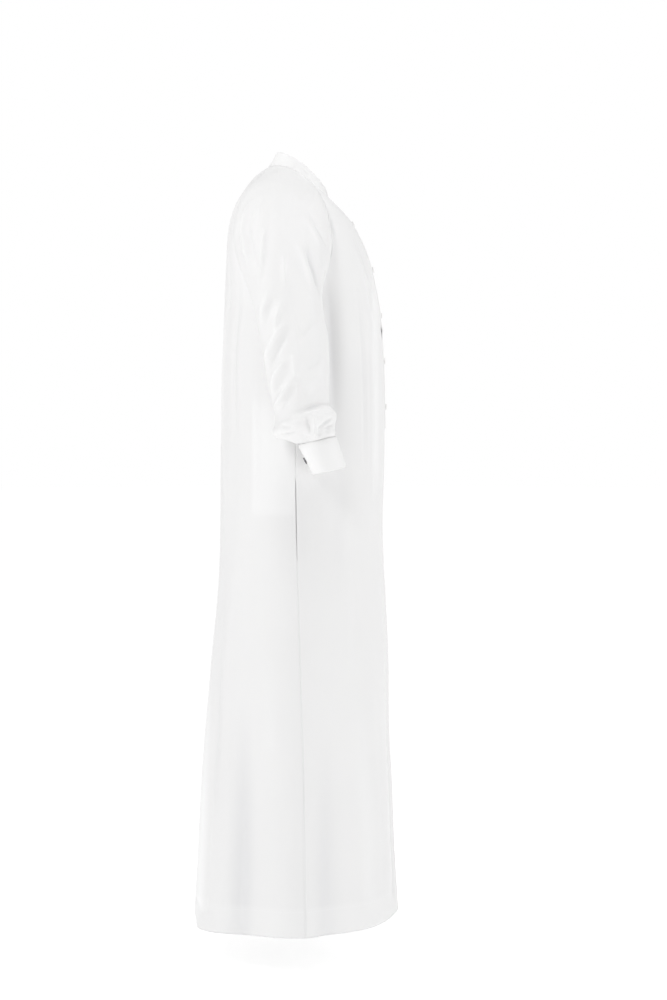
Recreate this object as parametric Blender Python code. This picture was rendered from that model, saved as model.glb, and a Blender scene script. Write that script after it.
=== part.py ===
"""A white thobe robe as it hangs when worn, hollow, cut and sewn as its maker would.

The origin is the middle of the neck opening, level with the seam where the collar's sides start,
which is where the shoulders carry the robe. +Z is up, the front faces -Y, and the wearer's left
is +X. Each cloth piece is a thin wall: a grid of outer points, and the same grid moved in by the
cloth's thickness. Pieces sewn together share the points and the normals of their seam, and each
stands back from it by half of the seam's gap.
"""

from collections import namedtuple
import math

import bmesh
import bpy
from mathutils import Matrix, Vector
import numpy as np

# Cloth, seams and stitched bands, in metres
CLOTH = 0.0013
HEM_CLOTH = 0.0026
SEAM_GAP = 0.0004
HEM_DEPTH = 0.050

# Heights of the underarm and of the hem at its side, front and back
UNDERARM = -0.232
HEM_SIDE = -1.412
HEM_MIDDLE = {"front": -1.407, "back": -1.432}

# The neckline and the collar's top edge are ovals that dip towards the front
NeckRing = namedtuple("NeckRing", "middle deep wide level slope bend")
NECKLINE = NeckRing(middle=-0.004, deep=0.061, wide=0.063, level=0.0410, slope=0.584, bend=-5.54)
COLLAR_TOP = NeckRing(middle=-0.0085, deep=0.0495, wide=0.057, level=0.0665, slope=0.656, bend=-5.26)
COLLAR_CLOTH = 0.0024
COLLAR_LIFT = 0.0005
COLLAR_OPENING = 0.0015
COLLAR_STEPS = 32
SLEEVE_AT_NECK = {"front": math.radians(75), "back": math.radians(143)}

# Where the sleeve folds back against the body at the underarm, the cloth faces down and outwards
UNDERARM_FACES = (0.5, 0.0, -0.87)

# How many steps each piece is divided into, and how the chest's rows are evened out
ACROSS = 24
YOKE_ROWS = 10
SKIRT_ROWS = 16
NECK_STEPS = 4
CAP_ROWS = 7
CHEST_SPREAD = 3
CHEST_PASSES = 4
CHEST_SHARE = 0.5
ROUND_SIDES = 14
SHARP_CORNER = math.radians(40)

# Rings of the body below the underarm: front and back are measured at the middle of each panel,
# side is where the side seam runs, and fullness goes from 0.5, an oval, to 1, a sharp lens
BodyRing = namedtuple("BodyRing", "height front back half_width side fullness")
BODY = (
    BodyRing(-0.232, -0.1637, 0.1405, 0.190, 0.004, 0.50),
    BodyRing(-0.300, -0.1715, 0.1425, 0.192, 0.003, 0.50),
    BodyRing(-0.380, -0.1755, 0.1455, 0.197, 0.002, 0.50),
    BodyRing(-0.460, -0.1750, 0.1470, 0.206, 0.001, 0.51),
    BodyRing(-0.560, -0.1700, 0.1510, 0.219, 0.000, 0.52),
    BodyRing(-0.680, -0.1685, 0.1525, 0.233, -0.002, 0.53),
    BodyRing(-0.800, -0.1745, 0.1585, 0.245, -0.005, 0.55),
    BodyRing(-0.920, -0.1800, 0.1700, 0.257, -0.009, 0.57),
    BodyRing(-1.040, -0.1810, 0.1755, 0.265, -0.013, 0.59),
    BodyRing(-1.160, -0.1875, 0.1865, 0.272, -0.016, 0.61),
    BodyRing(-1.280, -0.1920, 0.1930, 0.279, -0.018, 0.63),
    BodyRing(-1.440, -0.2020, 0.2050, 0.286, -0.020, 0.65),
)

# The middle lines of the front and back panels between the neckline and the underarm
Line = namedtuple("Line", "height reach")
MIDDLE_LINE = {
    "front": (
        Line(-0.0145, -0.0650),
        Line(-0.0385, -0.0945),
        Line(-0.0620, -0.1110),
        Line(-0.0860, -0.1240),
        Line(-0.1250, -0.1400),
        Line(-0.1650, -0.1505),
        Line(-0.2040, -0.1585),
        Line(-0.2320, -0.1637),
    ),
    "back": (
        Line(0.0571, 0.0570),
        Line(0.0330, 0.0865),
        Line(0.0090, 0.1045),
        Line(-0.0150, 0.1185),
        Line(-0.0385, 0.1280),
        Line(-0.0620, 0.1335),
        Line(-0.1250, 0.1380),
        Line(-0.2320, 0.1405),
    ),
}

# The right sleeve's seams, from the underarm up to the neckline
UNDERARM_POINT = (-0.190, 0.004, UNDERARM)
FRONT_SEAM = (
    UNDERARM_POINT,
    (-0.187, -0.036, -0.207),
    (-0.178, -0.056, -0.168),
    (-0.165, -0.066, -0.125),
    (-0.148, -0.067, -0.085),
    (-0.127, -0.060, -0.045),
    (-0.103, -0.048, -0.011),
    (-0.082, -0.033, 0.012),
)
BACK_SEAM = (
    UNDERARM_POINT,
    (-0.189, 0.064, -0.208),
    (-0.184, 0.096, -0.172),
    (-0.172, 0.113, -0.134),
    (-0.158, 0.120, -0.094),
    (-0.134, 0.118, -0.053),
    (-0.102, 0.104, -0.008),
    (-0.068, 0.077, 0.030),
)

# Where the sleeve's surface heads as it leaves its seam: at the underarm, at the middle of each
# seam and at the neck, and how firmly it keeps that way and the arm's own
CAP_LEAVES = {"underarm": (-0.70, 0.00, -0.70), "seam": (-0.90, 0.00, -0.40), "neck": (-0.96, 0.00, -0.27)}
CAP_FIRM = (1.15, 1.10)

# Rings of the right sleeve from the upper arm to just above the cuff. Tilt lifts the front of a
# ring and lean lifts its outer side
ArmRing = namedtuple("ArmRing", "along x y z deep wide tilt lean")
ARM = (
    ArmRing(0.00, -0.2470, 0.0110, -0.250, 0.0640, 0.0520, 2, 17),
    ArmRing(0.20, -0.2525, 0.0010, -0.300, 0.0628, 0.0525, 4, 8),
    ArmRing(0.42, -0.2565, -0.0040, -0.358, 0.0595, 0.0510, 8, 3),
    ArmRing(0.60, -0.2595, -0.0105, -0.405, 0.0535, 0.0475, 12, 0),
    ArmRing(0.70, -0.2615, -0.0130, -0.426, 0.0525, 0.0465, 13, 0),
    ArmRing(0.80, -0.2630, -0.0155, -0.446, 0.0590, 0.0505, 13, 0),
    ArmRing(0.90, -0.2610, -0.0195, -0.463, 0.0570, 0.0485, 13, 0),
    ArmRing(1.00, -0.2555, -0.0335, -0.4765, 0.0435, 0.0400, 13, 0),
)
ARM_PLACES = (0.08, 0.17, 0.27, 0.37, 0.47, 0.57, 0.65, 0.71, 0.76, 0.80, 0.85, 0.90, 0.95, 1.00)
GATHERS = 6
GATHER_DEPTH = 0.0018
GATHERED_FROM = 0.80
# The sleeve's last two rows lie inside the cuff, at these distances below its top edge
SLEEVE_IN_CUFF = (-0.0011, 0.0024)

# The right cuff, turned back on itself, from the middle of its top edge to that of its bottom edge
CUFF_TOP = Vector((-0.2535, -0.0412, -0.4840))
CUFF_BOTTOM = Vector((-0.2555, -0.0645, -0.5400))
CUFF_TILT = math.radians(12.8)
CUFF_DEEP = {"top": 0.0370, "bottom": 0.0320}
CUFF_WIDE = {"top": 0.0345, "bottom": 0.0300}
CUFF_LAYER = 0.0012
CUFF_FOLD_GAP = 0.0006
CUFF_STEPS = 22
CUFF_INNER_SHORT = 0.003
CUFF_ROUNDING = 0.0008
CUFF_FOLD = 0.0018
CUFF_OPENING = 0.0042

# The link that holds the cuff's two ends: a face, a post and a toggle
LINK_FACE = (0.0075, 0.0030)
LINK_POST = 0.0014
LINK_TOGGLE = (0.0050, 0.0024)
LINK_ROUNDING = 0.0008
LINK_CLEAR = {"outside": 0.0004, "inside": 0.0012}

# The opening strip down the front, and its buttons
PLACKET_WIDTH = 0.032
PLACKET_CLOTH = 0.0015
PLACKET_LIFT = 0.0006
PLACKET_ROWS = 14
PLACKET_COLUMNS = 5
PLACKET_BELOW_NECK = 0.12
BUTTON_RADIUS = 0.0055
BUTTON_THICK = 0.0022
BUTTON_LIFT = 0.0004
# Shares of a button's radius and thickness, from the middle of its back to that of its front
BUTTON_PROFILE = ((0, 0), (0.8, 0), (1, 0.35), (1, 0.8), (0.85, 1), (0, 1))
BUTTON_HEIGHTS = (-0.055, -0.145, -0.235, -0.325, -0.415)

# The pocket opening in each side seam, and the bag behind it
POCKET_TOP = -0.519
POCKET_BOTTOM = -0.690
POCKET_GAP = 0.0015
BAG_TOP = -0.37
BAG_BOTTOM = -0.77
# The bag reaches this many of the back panel's columns from the seam, and less in its top row
BAG_REACH = 4.6
BAG_COLUMNS = 6
BAG_TOP_NARROWER = 0.3
BAG_CLOTH = 0.0016
BAG_LIFT = 0.0009

# Soft upright folds. Across runs from -1 at the right side seam to 1 at the left one
Fold = namedtuple("Fold", "face across width depth top bottom")
FOLDS = (
    Fold("back", 0.00, 0.14, -0.0040, -0.55, -1.30),
    Fold("back", 0.30, 0.13, 0.0060, -0.35, -1.35),
    Fold("back", 0.60, 0.15, -0.0085, -0.90, -1.35),
    Fold("back", 0.83, 0.11, 0.0035, -0.95, -1.38),
    Fold("front", 0.20, 0.12, -0.0030, -0.62, -1.30),
    Fold("front", 0.46, 0.13, 0.0050, -0.40, -1.30),
    Fold("front", 0.76, 0.13, -0.0075, -1.00, -1.38),
)

WHITE = (0.86, 0.86, 0.88)
BRIGHT_WHITE = (0.90, 0.90, 0.91)
PEARL = (0.82, 0.81, 0.79)
DARK_METAL = (0.10, 0.10, 0.11)


def clear_scene():
    for obj in list(bpy.data.objects):
        bpy.data.objects.remove(obj, do_unlink=True)


def finish_of(name, colour, roughness, metallic=0.0):
    material = bpy.data.materials.new(name)
    material.use_nodes = True
    shader = material.node_tree.nodes["Principled BSDF"]
    shader.inputs["Base Color"].default_value = (*colour, 1)
    shader.inputs["Roughness"].default_value = roughness
    shader.inputs["Metallic"].default_value = metallic
    return material


def add_object(name, shape, finish):
    """Makes one object of a bmesh, closed and facing out, and shades it smooth but for its corners."""
    bmesh.ops.recalc_face_normals(shape, faces=shape.faces)
    mesh = bpy.data.meshes.new(name)
    shape.to_mesh(mesh)
    shape.free()
    mesh.shade_smooth()
    mesh.set_sharp_from_angle(angle=SHARP_CORNER)
    mesh.materials.append(finish)
    obj = bpy.data.objects.new(name, mesh)
    bpy.context.scene.collection.objects.link(obj)
    return obj


# Curves and tables


def hermite(start, leave, end, arrive, at):
    return (
        (2 * at**3 - 3 * at**2 + 1) * start
        + (at**3 - 2 * at**2 + at) * leave
        + (3 * at**2 - 2 * at**3) * end
        + (at**3 - at**2) * arrive
    )


def on_curve(places, values, at):
    """Values on a smooth curve through the given ones, where places is rising."""
    slopes = np.gradient(values, places, axis=0)
    at = np.clip(at, places[0], places[-1])
    i = np.clip(np.searchsorted(places, at) - 1, 0, len(places) - 2)
    span = places[i + 1] - places[i]
    share = (at - places[i]) / span
    if values.ndim > 1:
        span, share = span[:, None], share[:, None]
    return hermite(values[i], slopes[i] * span, values[i + 1], slopes[i + 1] * span, share)


def read(table, name, at):
    """A column of a table at any place along its first column."""
    rows = sorted(table)
    places = np.array([row[0] for row in rows])
    return on_curve(places, np.array([getattr(row, name) for row in rows]), np.asarray(at, float))


def through(points, steps):
    """Evenly spaced points on a smooth curve through the given ones."""
    points = np.array(points)
    run = np.concatenate([[0], np.cumsum(np.linalg.norm(np.diff(points, axis=0), axis=1))])
    return on_curve(run / run[-1], points, np.linspace(0, 1, steps + 1))


def ease(share):
    share = np.clip(share, 0, 1)
    return share * share * (3 - 2 * share)


def mirrored(points):
    return np.asarray(points) * (-1, 1, 1)


def unit(vectors):
    return vectors / np.linalg.norm(vectors, axis=-1, keepdims=True)


# The body's panels


def neck_ring(ring, angle):
    """Points on the neckline or the collar's top edge: angle 0 is the front, and pi is the back."""
    y = ring.middle - ring.deep * np.cos(angle)
    z = ring.level + ring.slope * y + ring.bend * y**2
    return np.stack([ring.wide * np.sin(angle), y, z], axis=-1)


def fold_depth(face, across, z):
    """How far the panel's upright folds move it out, none of it at the side seams."""
    moved = np.zeros_like(across)
    for fold in (fold for fold in FOLDS if fold.face == face):
        deepening = ease((fold.top - z) / (fold.top - fold.bottom))
        for middle in {fold.across, -fold.across}:
            moved += fold.depth * deepening * np.exp(-(((across - middle) / fold.width) ** 2))
    return moved * (1 - across**8)


def body_row(face, across, z):
    """A row of a panel at heights z, from the right side seam to the left one."""
    half_width = read(BODY, "half_width", z)
    side = read(BODY, "side", z)
    reach = read(BODY, face, z) - side
    sideways, outward = np.sin(across * math.pi / 2), np.abs(np.cos(across * math.pi / 2))
    y = side + reach * outward ** (2 * read(BODY, "fullness", z))
    flat = np.stack([half_width * sideways, y], axis=-1)
    out = unit(np.stack([sideways * np.abs(reach), outward * half_width * np.sign(reach)], axis=-1))
    flat += out * fold_depth(face, across, z)[:, None]
    return np.column_stack([flat, z])


def sleeve_seam(face):
    """The right sleeve's seam with a panel, from the underarm up to the neckline."""
    neck_point = neck_ring(NECKLINE, np.array([-SLEEVE_AT_NECK[face]]))[0]
    seam = {"front": FRONT_SEAM, "back": BACK_SEAM}[face]
    return through((*seam, tuple(neck_point)), YOKE_ROWS)


def yoke_rows(face, across):
    """The panel above the underarm, spanning its seams and held on its middle line, bottom row first."""
    right = sleeve_seam(face)
    left = mirrored(right)
    share = (across[:, None] + 1) / 2
    chest = body_row(face, across, np.full(len(across), UNDERARM))
    turn = {"front": SLEEVE_AT_NECK["front"], "back": math.pi - SLEEVE_AT_NECK["back"]}[face]
    angles = across * turn if face == "front" else math.pi - across * turn
    neck = neck_ring(NECKLINE, angles)
    rows = []
    for i in range(YOKE_ROWS + 1):
        height = i / YOKE_ROWS
        straight = (1 - share) * right[i] + share * left[i]
        swell = (1 - height) * (chest - (1 - share) * right[0] - share * left[0])
        swell += height * (neck - (1 - share) * right[-1] - share * left[-1])
        middle = len(across) // 2
        z = straight[middle, 2] + swell[middle, 2]
        wanted = read(MIDDLE_LINE[face], "reach", z) - straight[middle, 1]
        swell[:, 1] *= wanted / swell[middle, 1]
        rows.append(straight + swell)
    return rows


def panel(face):
    """Outer points of a whole panel, neckline first, in columns from the right side to the left."""
    across = np.linspace(-1, 1, ACROSS + 1)
    rows = yoke_rows(face, across)[::-1]
    hem = HEM_SIDE + (HEM_MIDDLE[face] - HEM_SIDE) * np.cos(across * math.pi / 2) ** 2
    hem_line = 1 - HEM_DEPTH / (UNDERARM - HEM_SIDE)
    for share in (*np.linspace(0, hem_line, SKIRT_ROWS)[1:], 1):
        rows.append(body_row(face, across, UNDERARM + (hem - UNDERARM) * share))
    return relaxed(np.array(rows))


def relaxed(grid):
    """Evens out the rows round the underarm, all but their ends, where the yoke meets the skirt."""
    for _ in range(CHEST_PASSES):
        for r in range(YOKE_ROWS - CHEST_SPREAD, YOKE_ROWS + CHEST_SPREAD + 1):
            above, below = grid[r - 1], grid[r + 1]
            up, down = (np.linalg.norm(grid[r] - near, axis=1, keepdims=True) for near in (above, below))
            even = (above * down + below * up) / (up + down)
            grid[r, 1:-1] += CHEST_SHARE * (even - grid[r])[1:-1]
    return grid


# The sleeves


def section(middle, deep, wide, tilt, lean, steps):
    """An oval round the arm, from its inner side to the back, the outer side and the front."""
    angles = np.arange(steps) * 2 * math.pi / steps
    backward = np.array([0, math.cos(tilt), -math.sin(tilt)])
    inward = np.array([math.cos(lean), 0, -math.sin(lean)])
    return middle + deep * np.sin(angles)[:, None] * backward + wide * np.cos(angles)[:, None] * inward


def cuff_middle(height):
    """The cuff's middle at a share of its height, 0 at the bottom and 1 at the top."""
    return np.array(CUFF_BOTTOM.lerp(CUFF_TOP, height))


def cuff_size(sizes, height):
    return sizes["bottom"] + (sizes["top"] - sizes["bottom"]) * height


def sleeve_top():
    """The closed edge where the right sleeve meets the back, the neckline and the front."""
    back, front = sleeve_seam("back"), sleeve_seam("front")
    angles = -np.linspace(SLEEVE_AT_NECK["back"], SLEEVE_AT_NECK["front"], NECK_STEPS + 1)
    return np.concatenate([back[:-1], neck_ring(NECKLINE, angles)[:-1], front[:0:-1]])


def cap_directions(top):
    """Where the sleeve's surface heads at each point of its top edge, changing evenly along the seams."""
    count = len(top)
    from_underarm = np.minimum(np.arange(count), count - np.arange(count)) / YOKE_ROWS
    low, seam, neck = (np.array(CAP_LEAVES[name]) for name in ("underarm", "seam", "neck"))
    lower = ease(2 * from_underarm)[:, None]
    upper = ease(2 * from_underarm - 1)[:, None]
    return unit(low + (seam - low) * lower + (neck - seam) * upper)


def sleeve():
    """Outer points of the right sleeve, from its seams with the body down into the cuff."""
    top = sleeve_top()
    steps = len(top)
    rings = []
    for along in (0.0, *ARM_PLACES):
        x, y, z, deep, wide, tilt, lean = (float(read(ARM, name, along)) for name in ArmRing._fields[1:])
        gathered = ease((along - GATHERED_FROM) / (1 - GATHERED_FROM))
        ring = section(np.array([x, y, z]), deep, wide, math.radians(tilt), math.radians(lean), steps)
        waves = np.cos(GATHERS * np.arange(steps) * 2 * math.pi / steps)
        ring += unit(ring - (x, y, z)) * (GATHER_DEPTH * gathered * waves)[:, None]
        rings.append(ring)
    upper_arm, below = rings[0], rings[1]
    reach = np.linalg.norm(upper_arm - top, axis=1, keepdims=True)
    leave = cap_directions(top) * reach * CAP_FIRM[0]
    arrive = unit(below - upper_arm) * reach * CAP_FIRM[1]
    rows = [hermite(top, leave, upper_arm, arrive, i / CAP_ROWS) for i in range(CAP_ROWS)]
    rows += rings
    inside = CUFF_LAYER + CUFF_FOLD_GAP
    for below_top in SLEEVE_IN_CUFF:
        height = 1 - below_top / (CUFF_TOP - CUFF_BOTTOM).length
        deep, wide = (cuff_size(sizes, height) - inside for sizes in (CUFF_DEEP, CUFF_WIDE))
        rows.append(section(cuff_middle(height), deep, wide, CUFF_TILT, 0, steps))
    return np.array(rows)


# Walls of cloth


def grid_normals(grid, closed):
    """Normals of a grid whose rows go down and whose columns go round against the clock."""
    if closed:
        along = np.roll(grid, -1, axis=1) - np.roll(grid, 1, axis=1)
    else:
        along = np.gradient(grid, axis=1)
    return unit(np.cross(np.gradient(grid, axis=0), along))


def share_seams(grids, normals):
    """Gives points that several pieces share the mean of their normals.

    At the underarm, where the sleeve folds back against the body, the normal leans down.
    """
    sums = {}
    for grid, normal in zip(grids, normals):
        for point, direction in zip(np.round(grid, 7).reshape(-1, 3), normal.reshape(-1, 3)):
            key = tuple(point + 0.0)
            sums[key] = sums.get(key, 0) + direction
    for side in (-1, 1):
        x, y, z = UNDERARM_POINT
        sums[tuple(np.round((side * abs(x), y, z), 7) + 0.0)] = np.array(UNDERARM_FACES) * (side, 1, 1)
    shared = []
    for grid in grids:
        keys = [tuple(point + 0.0) for point in np.round(grid, 7).reshape(-1, 3)]
        shared.append(unit(np.array([sums[key] for key in keys])).reshape(grid.shape))
    return shared


def stand_back(grid, normal, edge, inner_edge, closed, distance):
    """Moves an edge of a grid away from its seam, square to the seam and along the cloth."""
    line = grid[edge]
    if closed:
        along = np.roll(line, -1, axis=0) - np.roll(line, 1, axis=0)
    else:
        along = np.gradient(line, axis=0)
    inward = unit(np.cross(along, normal[edge]))
    facing = np.sign(np.sum(inward * (grid[inner_edge] - line), axis=1, keepdims=True))
    grid[edge] = line + inward * facing * np.reshape(distance, (-1, 1))


def wall(name, outer, inner, closed, finish):
    """One cloth piece: its outer and inner grids, and a rim along each open edge."""
    rows, columns = outer.shape[:2]
    shape = bmesh.new()
    out, back = ([[shape.verts.new(point) for point in row] for row in grid] for grid in (outer, inner))

    def quad(a, b, c, d):
        shape.faces.new((a, b, c))
        shape.faces.new((a, c, d))

    for c in range(columns if closed else columns - 1):
        n = (c + 1) % columns
        for r in range(rows - 1):
            quad(out[r][c], out[r + 1][c], out[r + 1][n], out[r][n])
            quad(back[r][c], back[r][n], back[r + 1][n], back[r + 1][c])
        quad(out[0][n], back[0][n], back[0][c], out[0][c])
        quad(out[-1][c], back[-1][c], back[-1][n], out[-1][n])
    if not closed:
        for r in range(rows - 1):
            quad(out[r][0], back[r][0], back[r + 1][0], out[r + 1][0])
            quad(out[r][-1], out[r + 1][-1], back[r + 1][-1], back[r][-1])
    return add_object(name, shape, finish)


def slit(z):
    """How far a side seam's edges stand back from it: more where it is left open as a pocket."""
    middle, half = (POCKET_TOP + POCKET_BOTTOM) / 2, (POCKET_TOP - POCKET_BOTTOM) / 2
    opened = np.sqrt(np.clip(1 - ((z - middle) / half) ** 2, 0, None))
    return SEAM_GAP / 2 + (POCKET_GAP - SEAM_GAP / 2) * opened


def body_and_sleeves():
    """Outer and inner grids of the four main pieces, with their seams shared."""
    right = sleeve()
    grids = {
        "front_panel": panel("front"),
        "back_panel": panel("back")[:, ::-1],
        "sleeve_right": right,
        "sleeve_left": mirrored(right)[:, ::-1],
    }
    closed = {name: name.startswith("sleeve") for name in grids}
    raw = [grid_normals(grid, closed[name]) for name, grid in grids.items()]
    normals = dict(zip(grids, share_seams(list(grids.values()), raw)))
    for name, grid in grids.items():
        normal = normals[name]
        if closed[name]:
            stand_back(grid, normal, np.s_[0], np.s_[1], True, np.full(grid.shape[1], SEAM_GAP / 2))
        else:
            for edge, inner_edge in ((np.s_[:, 0], np.s_[:, 1]), (np.s_[:, -1], np.s_[:, -2])):
                stand_back(grid, normal, edge, inner_edge, False, slit(grid[edge][:, 2]))
    return grids, normals, closed


def thickness(name, grid):
    """The cloth's thickness at each row, doubled where the hem is turned up."""
    depth = np.full(grid.shape[0], CLOTH)
    if name.endswith("panel"):
        depth[-2:] = HEM_CLOTH
    return depth[:, None, None]


# Collar, cuffs and what lies on the panels


def make_collar(finish):
    """The stand-up band: an open ring whose two ends meet at the middle of the front."""
    half_gap = COLLAR_OPENING / 2 / NECKLINE.wide
    angles = np.linspace(half_gap, 2 * math.pi - half_gap, COLLAR_STEPS + 1)
    low = neck_ring(NECKLINE, angles) + (0, 0, COLLAR_LIFT)
    high = neck_ring(COLLAR_TOP, angles)
    outer = np.array([high + (low - high) * share for share in (0, 0.5, 1)])
    middle = np.array([0, NECKLINE.middle, 0])
    inward = unit((middle - outer) * (1, 1, 0))
    wall("collar", outer, outer + inward * COLLAR_CLOTH, False, finish)


def make_cuff(name, side, finish):
    """A turned-back cuff: an inner and an outer layer, one cloth that folds at the bottom edge."""
    full = (CUFF_TOP - CUFF_BOTTOM).length
    inside = CUFF_LAYER + CUFF_FOLD_GAP
    total = inside + CUFF_LAYER
    rounding, fold = CUFF_ROUNDING / full, CUFF_FOLD / full
    profile = (
        (0, 1),
        (0, rounding),
        (0.3 * total, 0),
        (0.7 * total, 0),
        (total, rounding),
        (total, 1 - CUFF_INNER_SHORT / full),
        (inside, 1 - CUFF_INNER_SHORT / full),
        (inside, fold),
        (CUFF_LAYER, fold),
        (CUFF_LAYER, 1),
    )
    backward = np.array([0, math.cos(CUFF_TILT), -math.sin(CUFF_TILT)])
    shape = bmesh.new()
    loops = []
    start = CUFF_OPENING / 2 / CUFF_WIDE["top"]
    for angle in np.linspace(start, 2 * math.pi - start, CUFF_STEPS + 1):
        loop = []
        for depth, height in profile:
            deep, wide = (cuff_size(sizes, height) - depth for sizes in (CUFF_DEEP, CUFF_WIDE))
            point = cuff_middle(height) + deep * math.cos(angle) * backward
            point = point + np.array([wide * math.sin(angle), 0, 0])
            loop.append(shape.verts.new(point * (side, 1, 1)))
        loops.append(loop)
    count = len(profile)
    for before, after in zip(loops, loops[1:]):
        for i in range(count):
            n = (i + 1) % count
            corners = (before[i], before[n], after[n], after[i])
            if profile[n][1] > profile[i][1]:
                corners = corners[1:] + corners[:1]
            shape.faces.new(corners[:3])
            shape.faces.new((corners[0], *corners[2:]))
    for strip in ((0, 1, 8, 9), (1, 2, 3, 8), (3, 4, 7, 8), (4, 5, 6, 7)):
        shape.faces.new([loops[0][i] for i in strip])
        shape.faces.new([loops[-1][i] for i in strip[::-1]])
    bmesh.ops.triangulate(shape, faces=[face for face in shape.faces if len(face.verts) > 3])
    add_object(name, shape, finish)


def turned(name, profile, place, finish):
    """A round piece turned about its own Z axis, from a profile of radii and heights."""
    shape = bmesh.new()
    rings = []
    for radius, height in profile:
        turns = [2 * math.pi * i / ROUND_SIDES for i in range(ROUND_SIDES if radius else 1)]
        rings.append([shape.verts.new((radius * math.cos(a), radius * math.sin(a), height)) for a in turns])
    for below, above in zip(rings, rings[1:]):
        for i in range(ROUND_SIDES):
            corners = [below[i % len(below)], below[(i + 1) % len(below)]]
            corners += [above[(i + 1) % len(above)], above[i % len(above)]]
            shape.faces.new(list(dict.fromkeys(corners)))
    obj = add_object(name, shape, finish)
    obj.matrix_world = place
    return obj


def facing(point, direction):
    """A place whose own Z axis points in the given direction."""
    return Matrix.Translation(point) @ Vector(direction).to_track_quat("Z", "Y").to_matrix().to_4x4()


def make_link(name, side, finish):
    """The cuff link: its face on the back of the cuff, its post in the opening, its toggle inside."""
    radius, thick = LINK_FACE
    toggle_radius, toggle_thick = LINK_TOGGLE
    inside = 2 * CUFF_LAYER + CUFF_FOLD_GAP + LINK_CLEAR["inside"]
    outside = LINK_CLEAR["outside"]
    profile = (
        (0, -inside - toggle_thick),
        (toggle_radius, -inside - toggle_thick),
        (toggle_radius, -inside),
        (LINK_POST, -inside),
        (LINK_POST, outside),
        (radius - LINK_ROUNDING, outside),
        (radius, outside + LINK_ROUNDING),
        (radius, thick),
        (radius - LINK_ROUNDING, thick + LINK_ROUNDING),
        (0, thick + LINK_ROUNDING),
    )
    backward = np.array([0, math.cos(CUFF_TILT), -math.sin(CUFF_TILT)])
    low, high = (cuff_middle(height) + backward * cuff_size(CUFF_DEEP, height) for height in (0, 1))
    out = unit(np.array([0, (high - low)[2], -(high - low)[1]]))
    turned(name, profile, facing(Vector((low + high) / 2 * (side, 1, 1)), out), finish)


def across_row(row, distances):
    """Points on a row of a panel at distances along it from its middle."""
    run = np.concatenate([[0], np.cumsum(np.linalg.norm(np.diff(row, axis=0), axis=1))])
    run -= run[len(run) // 2]
    return np.stack([np.interp(distances, run, row[:, axis]) for axis in range(3)], axis=-1)


def make_placket(panel_points, panel_normals, cloth, pearl):
    """The strip over the front opening, and the buttons that close it."""
    distances = np.linspace(-PLACKET_WIDTH / 2, PLACKET_WIDTH / 2, PLACKET_COLUMNS)
    rows = range(PLACKET_ROWS)
    base = np.array([across_row(panel_points[r], distances) for r in rows])
    base[0] = base[0] + (base[1] - base[0]) * PLACKET_BELOW_NECK
    middle = panel_points.shape[1] // 2
    out = np.array([np.repeat(panel_normals[r, middle][None], PLACKET_COLUMNS, axis=0) for r in rows])
    inner = base + out * PLACKET_LIFT
    outer = inner + out * PLACKET_CLOTH
    wall("placket", outer, inner, False, cloth)
    profile = [(radius * BUTTON_RADIUS, height * BUTTON_THICK) for radius, height in BUTTON_PROFILE]
    line = outer[::-1, PLACKET_COLUMNS // 2]
    for number, height in enumerate(BUTTON_HEIGHTS, start=1):
        point = np.array([np.interp(height, line[:, 2], line[:, axis]) for axis in range(3)])
        below = np.searchsorted(line[:, 2], height)
        along = line[below] - line[below - 1]
        direction = unit(np.array([0, -along[2], along[1]]))
        place = facing(Vector(point + direction * BUTTON_LIFT), direction)
        turned(f"button_{number}", profile, place, pearl)


def make_bag(name, front, back, normals, side, finish):
    """A flat pocket bag inside a side seam, made from the panels' points moved in."""
    front_edge = {-1: np.s_[:, 1], 1: np.s_[:, -2]}[side]
    places = np.linspace(0, BAG_REACH, BAG_COLUMNS)
    back_columns = np.arange(int(BAG_REACH) + 2)
    if side < 0:
        back_columns = -1 - back_columns
    rows = [r for r in range(len(front)) if BAG_BOTTOM < front[r, 0, 2] < BAG_TOP]
    indices = np.arange(len(back_columns))
    points, directions = [], []
    for r in rows:
        along = places * (1 - BAG_TOP_NARROWER if r == rows[0] else 1)
        line, faces_out = (
            np.stack([np.interp(along, indices, grid[r, back_columns, k]) for k in range(3)], axis=-1)
            for grid in (back, normals["back_panel"])
        )
        points.append(np.vstack([front[front_edge][r], line]))
        directions.append(np.vstack([normals["front_panel"][front_edge][r], faces_out]))
    points, directions = np.array(points), unit(np.array(directions))
    outer = points - directions * (CLOTH + BAG_LIFT)
    wall(name, outer, outer - directions * BAG_CLOTH, False, finish)


def main():
    clear_scene()
    cloth = finish_of("white cloth", WHITE, 0.75)
    stiff_cloth = finish_of("stiff white cloth", BRIGHT_WHITE, 0.7)
    pearl = finish_of("pearl button", PEARL, 0.35)
    metal = finish_of("dark metal", DARK_METAL, 0.35, 0.9)
    grids, normals, closed = body_and_sleeves()
    for name, grid in grids.items():
        wall(name, grid, grid - normals[name] * thickness(name, grid), closed[name], cloth)
    make_collar(stiff_cloth)
    make_placket(grids["front_panel"], normals["front_panel"], stiff_cloth, pearl)
    for word, side in (("right", 1), ("left", -1)):
        make_cuff(f"cuff_{word}", side, stiff_cloth)
        make_link(f"cuff_link_{word}", side, metal)
        make_bag(f"pocket_bag_{word}", grids["front_panel"], grids["back_panel"], normals, -side, cloth)


main()
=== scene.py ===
# %% [markdown]
# # A white thobe robe
#
# The robe is a long, loose garment of thin white cloth, with a stand collar, a buttoned front strip,
# and full sleeves that are gathered into turned-back cuffs. It hangs here as it does when worn, but
# hollow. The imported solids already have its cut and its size, so this lesson loads them as a fixed
# frame, and makes a finer piece of cloth on the form of each one. Everything is in metres, with +Z
# up, the front of the robe towards -Y, and the wearer's left towards +X.

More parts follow.
